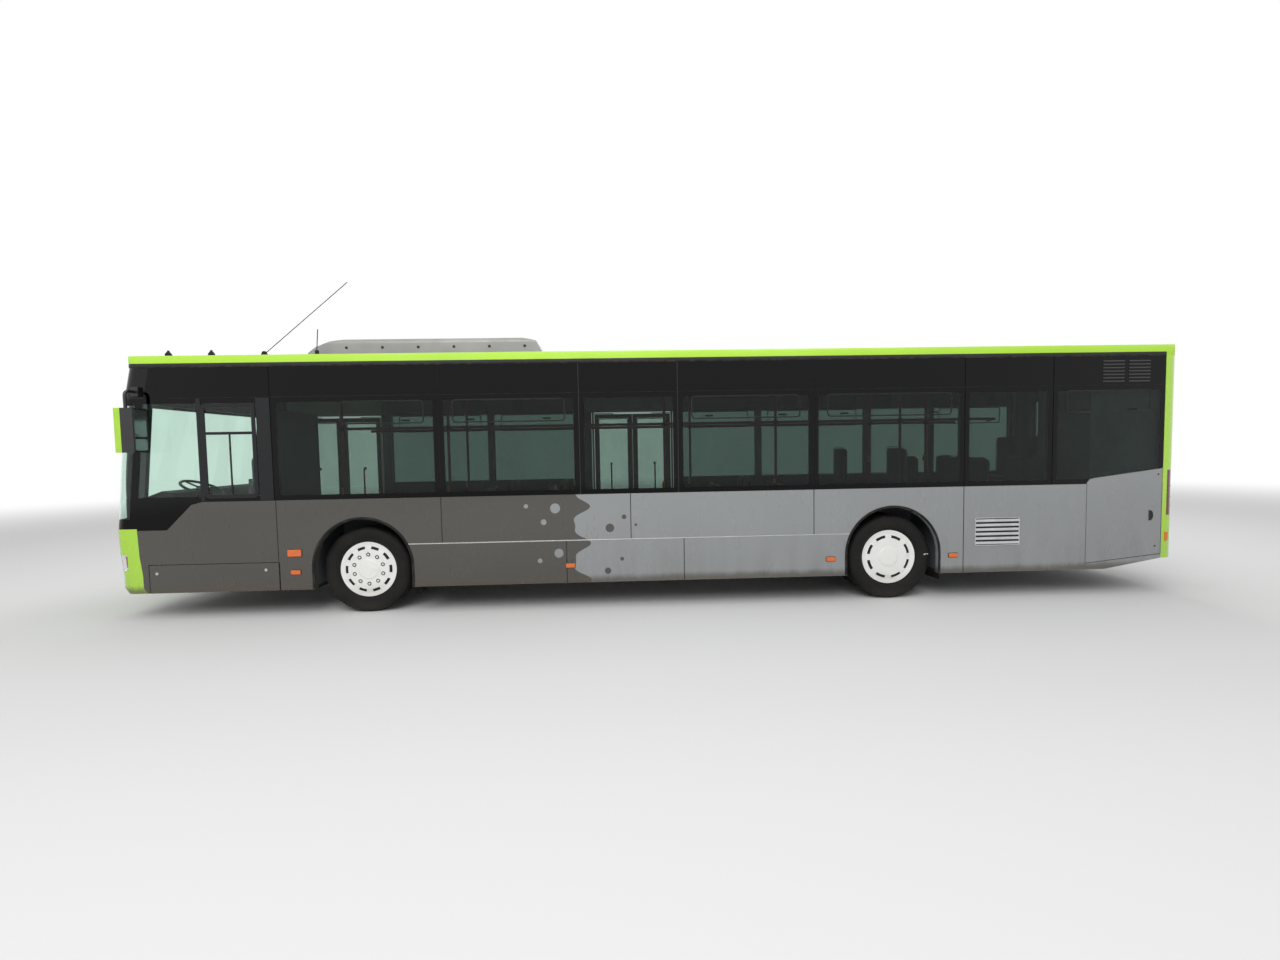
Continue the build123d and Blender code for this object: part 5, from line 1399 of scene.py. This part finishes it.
# back x, middle y, underside of the shell, its height, and whether the seat stands on feet
places = [(back_x, middle_y + aside, floor_z + shell_up, 0.63, True)
          for back_x, middle_y, floor_z in pair_rows for aside in (-0.215, 0.215)]
places += [(-2.80, y, bench_z + bench_up, 0.60, False) for y in (-0.86, 0.86)]
places += [(-5.38, y, last_row_z + last_row_up, 0.64, False) for y in (-0.89, -0.435, 0.02)]
cushions = bmesh.new()
backs = bmesh.new()
cords = bmesh.new()
seat_shells = bmesh.new()
handles = bmesh.new()
for back_x, y, base_z, tall, on_feet in places:
    lie = Matrix.Translation((back_x + seat_deep / 2 + 0.008, y, base_z + 0.022))
    stand = Matrix.Translation((back_x - 0.042, y, base_z + 0.355)) @ Matrix.Rotation(radians(90), 4, "Y")
    add_copy(cushions, cushion_mesh, lie)
    add_copy(backs, back_mesh, stand)
    add_copy(cords, cushion_cord, lie)
    add_copy(cords, back_cord, stand)
    half = seat_wide / 2 - 0.001
    add_plate(seat_shells, rounded(back_x - 0.060, back_x + 0.428, y - half, y + half, 0.04, 4),
              top_map(base_z), 0.0, 0.023, 0.006)
    add_plate(seat_shells, rounded(y - half, y + half, base_z + 0.01, base_z + tall, 0.05, 4),
              end_map(back_x - 0.042, -1), 0.0, 0.024, 0.008)
    if on_feet:
        grip = ((-0.15, -0.02), (-0.13, 0.012), (0.13, 0.012), (0.15, -0.02))
        add_tube(handles, [(back_x - 0.052, y + aside, base_z + tall + up) for aside, up in grip], 0.010, 10)
foot_profile = ((0.10, 0.001), (0.24, 0.001), (0.20, 0.16), (0.26, 0.35), (0.06, 0.35), (0.14, 0.16))
for back_x, middle_y, floor_z in pair_rows:
    for foot_y in (middle_y - 0.055, middle_y + 0.055):
        add_plate(seat_shells, [(back_x + x, floor_z + z) for x, z in foot_profile], side_map(foot_y),
                  -0.006, 0.006, 0.002)
    ends = [(back_x + 0.13, middle_y + aside, floor_z + 0.335) for aside in (-0.40, 0.40)]
    add_tube(handles, ends, 0.014, 10)
shell_finish = plain_finish("seat_shell_plastic", shade(92, 95, 100), 0.5, scale=22, vary=0.08, relief=0.2)
cord_finish = plain_finish("seat_piping", shade(30, 32, 38), 0.7, scale=60, vary=0.15, relief=0.2)
cushion_piece = new_piece("seat_cushions", cushions, moquette, smooth=60)
back_piece = new_piece("seat_back_pads", backs, moquette, smooth=60)
new_piece("seat_piping", cords, cord_finish, smooth=60)
shell_piece = new_piece("seat_shells_and_feet", seat_shells, shell_finish, smooth=40)
new_piece("seat_handles", handles, rail_red, smooth=50)
plinths = bmesh.new()
for y in (-0.86, 0.86):
    add_plate(plinths, rounded(-2.80, -2.345, y - 0.29, y + 0.29, 0.03), top_map(bench_z),
              0.0, bench_up, 0.005)
add_plate(plinths, rounded(-5.455, -4.965, -1.12, 0.25, 0.03), top_map(last_row_z), 0.0, last_row_up, 0.006)
new_piece("seat_plinths", plinths, shell_finish, smooth=40)
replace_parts(cushion_piece, "passenger_seats")
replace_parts(back_piece, "passenger_seats")
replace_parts(shell_piece, "passenger_seats")

# Driver's place: a raised platform with speckled sheet, a soft black dashboard with a binnacle of
# plain dials and rocker switches, and a grained plastic wheel on a leaning column.
dress(floor_finish, "cab_platform")
soft_black = plain_finish("dashboard_soft_plastic", shade(38, 40, 42), 0.58, scale=60, vary=0.1,
                          relief=0.45, dust=0.25)
dress(soft_black, "dashboard")
ring_finish = plain_finish("steering_rim_plastic", shade(24, 24, 25), 0.45, scale=90, vary=0.1, relief=0.35)
dress(ring_finish, "steering_wheel")
cab_y = 0.70
panel_low = Vector((5.3895, cab_y, 1.268))
panel_up = Vector((0.5144, 0.0, 0.8575)).normalized()
panel_out = Vector((-0.8575, 0.0, 0.5144)).normalized()


def panel_at(point, out=0.0):
    """A place on the sloping instrument panel for (across, up), moved off it by a distance."""
    return panel_low + Vector((0, -point[0], 0)) + panel_up * point[1] + panel_out * out


def spoke_line(middle, turn_by, near, far, half, narrow=1.0):
    """The outline of a straight bar that points away from a middle, between two distances."""
    way = Vector((cos(turn_by), sin(turn_by)))
    across = Vector((-way.y, way.x)) * half
    start = Vector(middle) + way * near
    end = Vector(middle) + way * far
    return [tuple(p) for p in (start - across, end - across * narrow, end + across * narrow, start + across)]


binnacle = bmesh.new()
dial_faces = bmesh.new()
marks = bmesh.new()
switches = bmesh.new()
dial_start = radians(220)
add_plate(binnacle, rounded(-0.27, 0.27, 0.004, 0.114, 0.03, 4), panel_at, -0.004, 0.006, 0.003)
for middle, r in (((-0.075, 0.062), 0.040), ((0.075, 0.062), 0.040), ((0.0, 0.075), 0.022),
                  ((0.0, 0.030), 0.018)):
    add_rim(binnacle, round_line(middle, r + 0.006, 28), 0.006, panel_at, 0.004, 0.012, 0.002)
    add_plate(dial_faces, round_line(middle, r, 28), panel_at, 0.004, 0.0075, 0.0005)
    for k in range(9):
        mark = spoke_line(middle, dial_start - radians(260 * k / 8), r * 0.76, r * 0.92, 0.0008)
        add_plate(marks, mark, panel_at, 0.007, 0.0080, 0.0002)
    needle = spoke_line(middle, dial_start, r * -0.15, r * 0.72, 0.0012)
    add_plate(marks, needle, panel_at, 0.007, 0.0095, 0.0004)
for side in (-1, 1):
    for z in (0.035, 0.080):
        for k in range(4):
            x = side * (0.150 + 0.028 * k)
            add_plate(switches, rounded(x - 0.010, x + 0.010, z - 0.014, z + 0.014, 0.003, 2), panel_at,
                      0.004, 0.012, 0.003)
new_piece("instrument_binnacle", binnacle, soft_black, smooth=40)
dial_finish = plain_finish("dial_face", shade(14, 15, 17), 0.3, scale=40, vary=0.05, relief=0.02, coat=0.5)
new_piece("dial_faces", dial_faces, dial_finish)
mark_finish = plain_finish("dial_marks", shade(214, 216, 214), 0.5, scale=80, vary=0.03, relief=0.02)
new_piece("dial_marks_and_needles", marks, mark_finish)
new_piece("rocker_switches", switches, marker_black)

lean = radians(25)
wheel_axis = Vector((-sin(lean), 0, cos(lean)))
wheel_middle = Vector((5.40, cab_y, 1.40))
wheel_front = Vector((cos(lean), 0, sin(lean)))


def wheel_face(point, out=0.0):
    """A place on the steering wheel's face for (across, forward), moved along its axis."""
    return wheel_middle + Vector((0, point[0], 0)) + wheel_front * point[1] + wheel_axis * out


horn_pad = bmesh.new()
add_plate(horn_pad, round_line((0, 0), 0.058, 28), wheel_face, -0.004, 0.008, 0.005)
for turn_by in (0.0, pi / 2, pi):
    spoke = spoke_line((0, 0), turn_by, 0.060, 0.192, 0.016, 0.8)
    add_plate(horn_pad, spoke, wheel_face, -0.010, 0.0015, 0.002)
new_piece("horn_pad_and_spokes", horn_pad, ring_finish, "steering_wheel", smooth=40)

# Driver's seat: an air-sprung seat in the same moquette on a black bellows, with a stuffed cushion,
# a tall back with sewn side bolsters, a headrest on two bars, and a belt reel at its side.
seat_middle_x = 4.93
upright = Matrix.Rotation(radians(90), 4, "Y")
driver_cushion = stuffed(pad_block(0.46, 0.47, 0.085, 0.012, 0.07), 0.016, 0.008, (-0.14, 0.14))
driver_back = stuffed(pad_block(0.70, 0.46, 0.070, 0.012, 0.08), 0.016, 0.008, (-0.14, 0.14))
driver_head = stuffed(pad_block(0.145, 0.235, 0.066, 0.010, 0.05), 0.012, 0.006)
driver_cushion.transform(Matrix.Translation((seat_middle_x, cab_y, 1.036)))
driver_back.transform(Matrix.Translation((4.617, cab_y, 1.425)) @ upright)
driver_head.transform(Matrix.Translation((4.612, cab_y, 1.855)) @ upright)
for name, mesh in (("driver_cushion", driver_cushion), ("driver_back_pad", driver_back),
                   ("driver_headrest", driver_head)):
    pad = new_piece(name, mesh, moquette, smooth=60)
    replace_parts(pad, "driver_seat")
bellows = [(0.19, 0.702), (0.20, 0.72)]
for k in range(6):
    bellows += [(0.150, 0.745 + 0.040 * k), (0.185, 0.765 + 0.040 * k)]
bellows += [(0.16, 0.985), (0.21, 1.000), (0.21, 1.030)]
loops = []
for half, z in bellows:
    plan = rounded(-half * 0.9, half * 0.9, -half, half, 0.05, 4)
    loops.append([(seat_middle_x + x, cab_y + y, z) for x, y in plan])
pedestal = bmesh.new()
skin(pedestal, loops)
add_plate(pedestal, rounded(0.48, 0.92, 1.075, 1.765, 0.07, 4), end_map(4.620, -1), -0.002, 0.010, 0.004)
for y in (0.64, 0.76):
    add_tube(pedestal, [(4.640, y, 1.74), (4.640, y, 1.83)], 0.007, 8)
add_plate(pedestal, rounded(4.66, 4.74, 1.05, 1.16, 0.02), side_map(0.905), -0.02, 0.030, 0.006)
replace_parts(new_piece("driver_seat_base", pedestal, marker_black, smooth=35), "driver_seat")

# Saloon fittings: the cab partition and the cooling cupboard in grey laminate, powder-coated poles
# and rails in coral red with black clamps, and yellow bell pushes with red buttons on the poles.
laminate = plain_finish("grey_laminate", shade(128, 132, 134), 0.42, scale=16, vary=0.08, relief=0.06,
                        dust=0.08)
dress(laminate, "cab_partition", "engine_tower")
dress(rail_red, "grab_rails")
push_yellow = plain_finish("bell_push_yellow", shade(222, 178, 34), 0.4, scale=40, vary=0.05, relief=0.05)
push_red = plain_finish("bell_push_red", shade(190, 30, 34), 0.35, scale=40, vary=0.05, relief=0.02)
pole_r = 0.0165
clamp_r = 0.0215
rail_z = 2.08
clamps = bmesh.new()
pushes = bmesh.new()
buttons = bmesh.new()
pole_places = [(x, y, aisle_floor_z) for x, y in ((3.88, 0.43), (2.59, -0.43), (2.59, 0.43), (1.10, -0.43),
                                                  (-0.52, -0.43), (-0.09, 0.43), (-1.50, 0.43))]
pole_places += [(x, y, rear_floor_z) for x in (-3.10, -3.91) for y in (-0.43, 0.43)]
for x, y, foot in pole_places:
    add_tube(clamps, [(x, y, foot + 0.001), (x, y, foot + 0.012)], 0.034, 18)
    add_tube(clamps, [(x, y, rail_z - 0.030), (x, y, rail_z + 0.030)], clamp_r, 14)
    add_tube(clamps, [(x - 0.035, y, rail_z), (x + 0.035, y, rail_z)], clamp_r, 14)
    push_at = end_map(x + pole_r)
    add_plate(pushes, rounded(y - 0.022, y + 0.022, foot + 0.93, foot + 1.02, 0.012), push_at,
              -0.012, 0.018, 0.005)
    add_plate(buttons, round_line((y, foot + 0.975), 0.013, 16), push_at, 0.015, 0.0215, 0.002)
new_piece("rail_clamps", clamps, marker_black, smooth=40)
new_piece("bell_push_boxes", pushes, push_yellow)
new_piece("bell_push_buttons", buttons, push_red)

# Studio: a pale floor without edges and a white surround, large soft lamps above both sides and
# above the roof, and the evenly lit world around them.
white = (1, 1, 1, 1)
floor_paint = Paint("studio_floor", 0.85)
floor_paint.set(base_color=(0.80, 0.80, 0.80, 1))
ground_mesh = bpy.data.meshes.new("studio_floor")
ground_mesh.from_pydata([(-60, -60, 0), (60, -60, 0), (60, 60, 0), (-60, 60, 0)], [], [(0, 1, 2, 3)])
ground_mesh.materials.append(floor_paint.material)
ground = bpy.data.objects.new("studio_floor", ground_mesh)
bpy.context.scene.collection.objects.link(ground)
spot_x, spot_y = floor_paint.axes()[:2]
far_away = ((spot_x ** 2.0 + spot_y ** 2.0) ** 0.5).spread(14.0, 30.0)
glow = floor_paint.value("Emission", 0, Color=white)
far = floor_paint.tree.nodes.new("ShaderNodeMixShader")
for number, value in enumerate((far_away, Value(floor_paint.tree, floor_paint.shader.outputs[0]), glow)):
    plug(value, far.inputs[number])
floor_out = [node for node in floor_paint.tree.nodes if node.type == "OUTPUT_MATERIAL"][-1]
floor_paint.tree.links.new(far.outputs[0], floor_out.inputs["Surface"])

world = bpy.data.worlds.new("soft_studio")
world.use_nodes = True
bpy.context.scene.world = world
surround = world.node_tree
for node in list(surround.nodes):
    surround.nodes.remove(node)
ray = surround.nodes.new("ShaderNodeLightPath")
seen_rays = [Value(surround, ray.outputs[f"Is {kind} Ray"]) for kind in ("Camera", "Glossy", "Transmission")]
light_level = (seen_rays[0] | seen_rays[1] | seen_rays[2]) * 0.52 + 0.48
sky = surround.nodes.new("ShaderNodeBackground")
plug(white, sky.inputs["Color"])
plug(light_level, sky.inputs["Strength"])
world_out = surround.nodes.new("ShaderNodeOutputWorld")
surround.links.new(sky.outputs[0], world_out.inputs["Surface"])

for lamp_name, lamp_place, lamp_power, lamp_size in (
        ("soft_lamp_left", (3, 12, 11), 1050, 10), ("soft_lamp_right", (-4, -12, 11), 800, 10),
        ("soft_lamp_top", (0, 0, 14), 480, 12)):
    lamp_data = bpy.data.lights.new(lamp_name, "AREA")
    lamp_data.energy = lamp_power
    lamp_data.size = lamp_size
    lamp = bpy.data.objects.new(lamp_name, lamp_data)
    bpy.context.scene.collection.objects.link(lamp)
    aim = (Vector((0, 0, 1.2)) - Vector(lamp_place)).to_track_quat("-Z", "Y").to_matrix().to_4x4()
    lamp.matrix_world = Matrix.Translation(lamp_place) @ aim
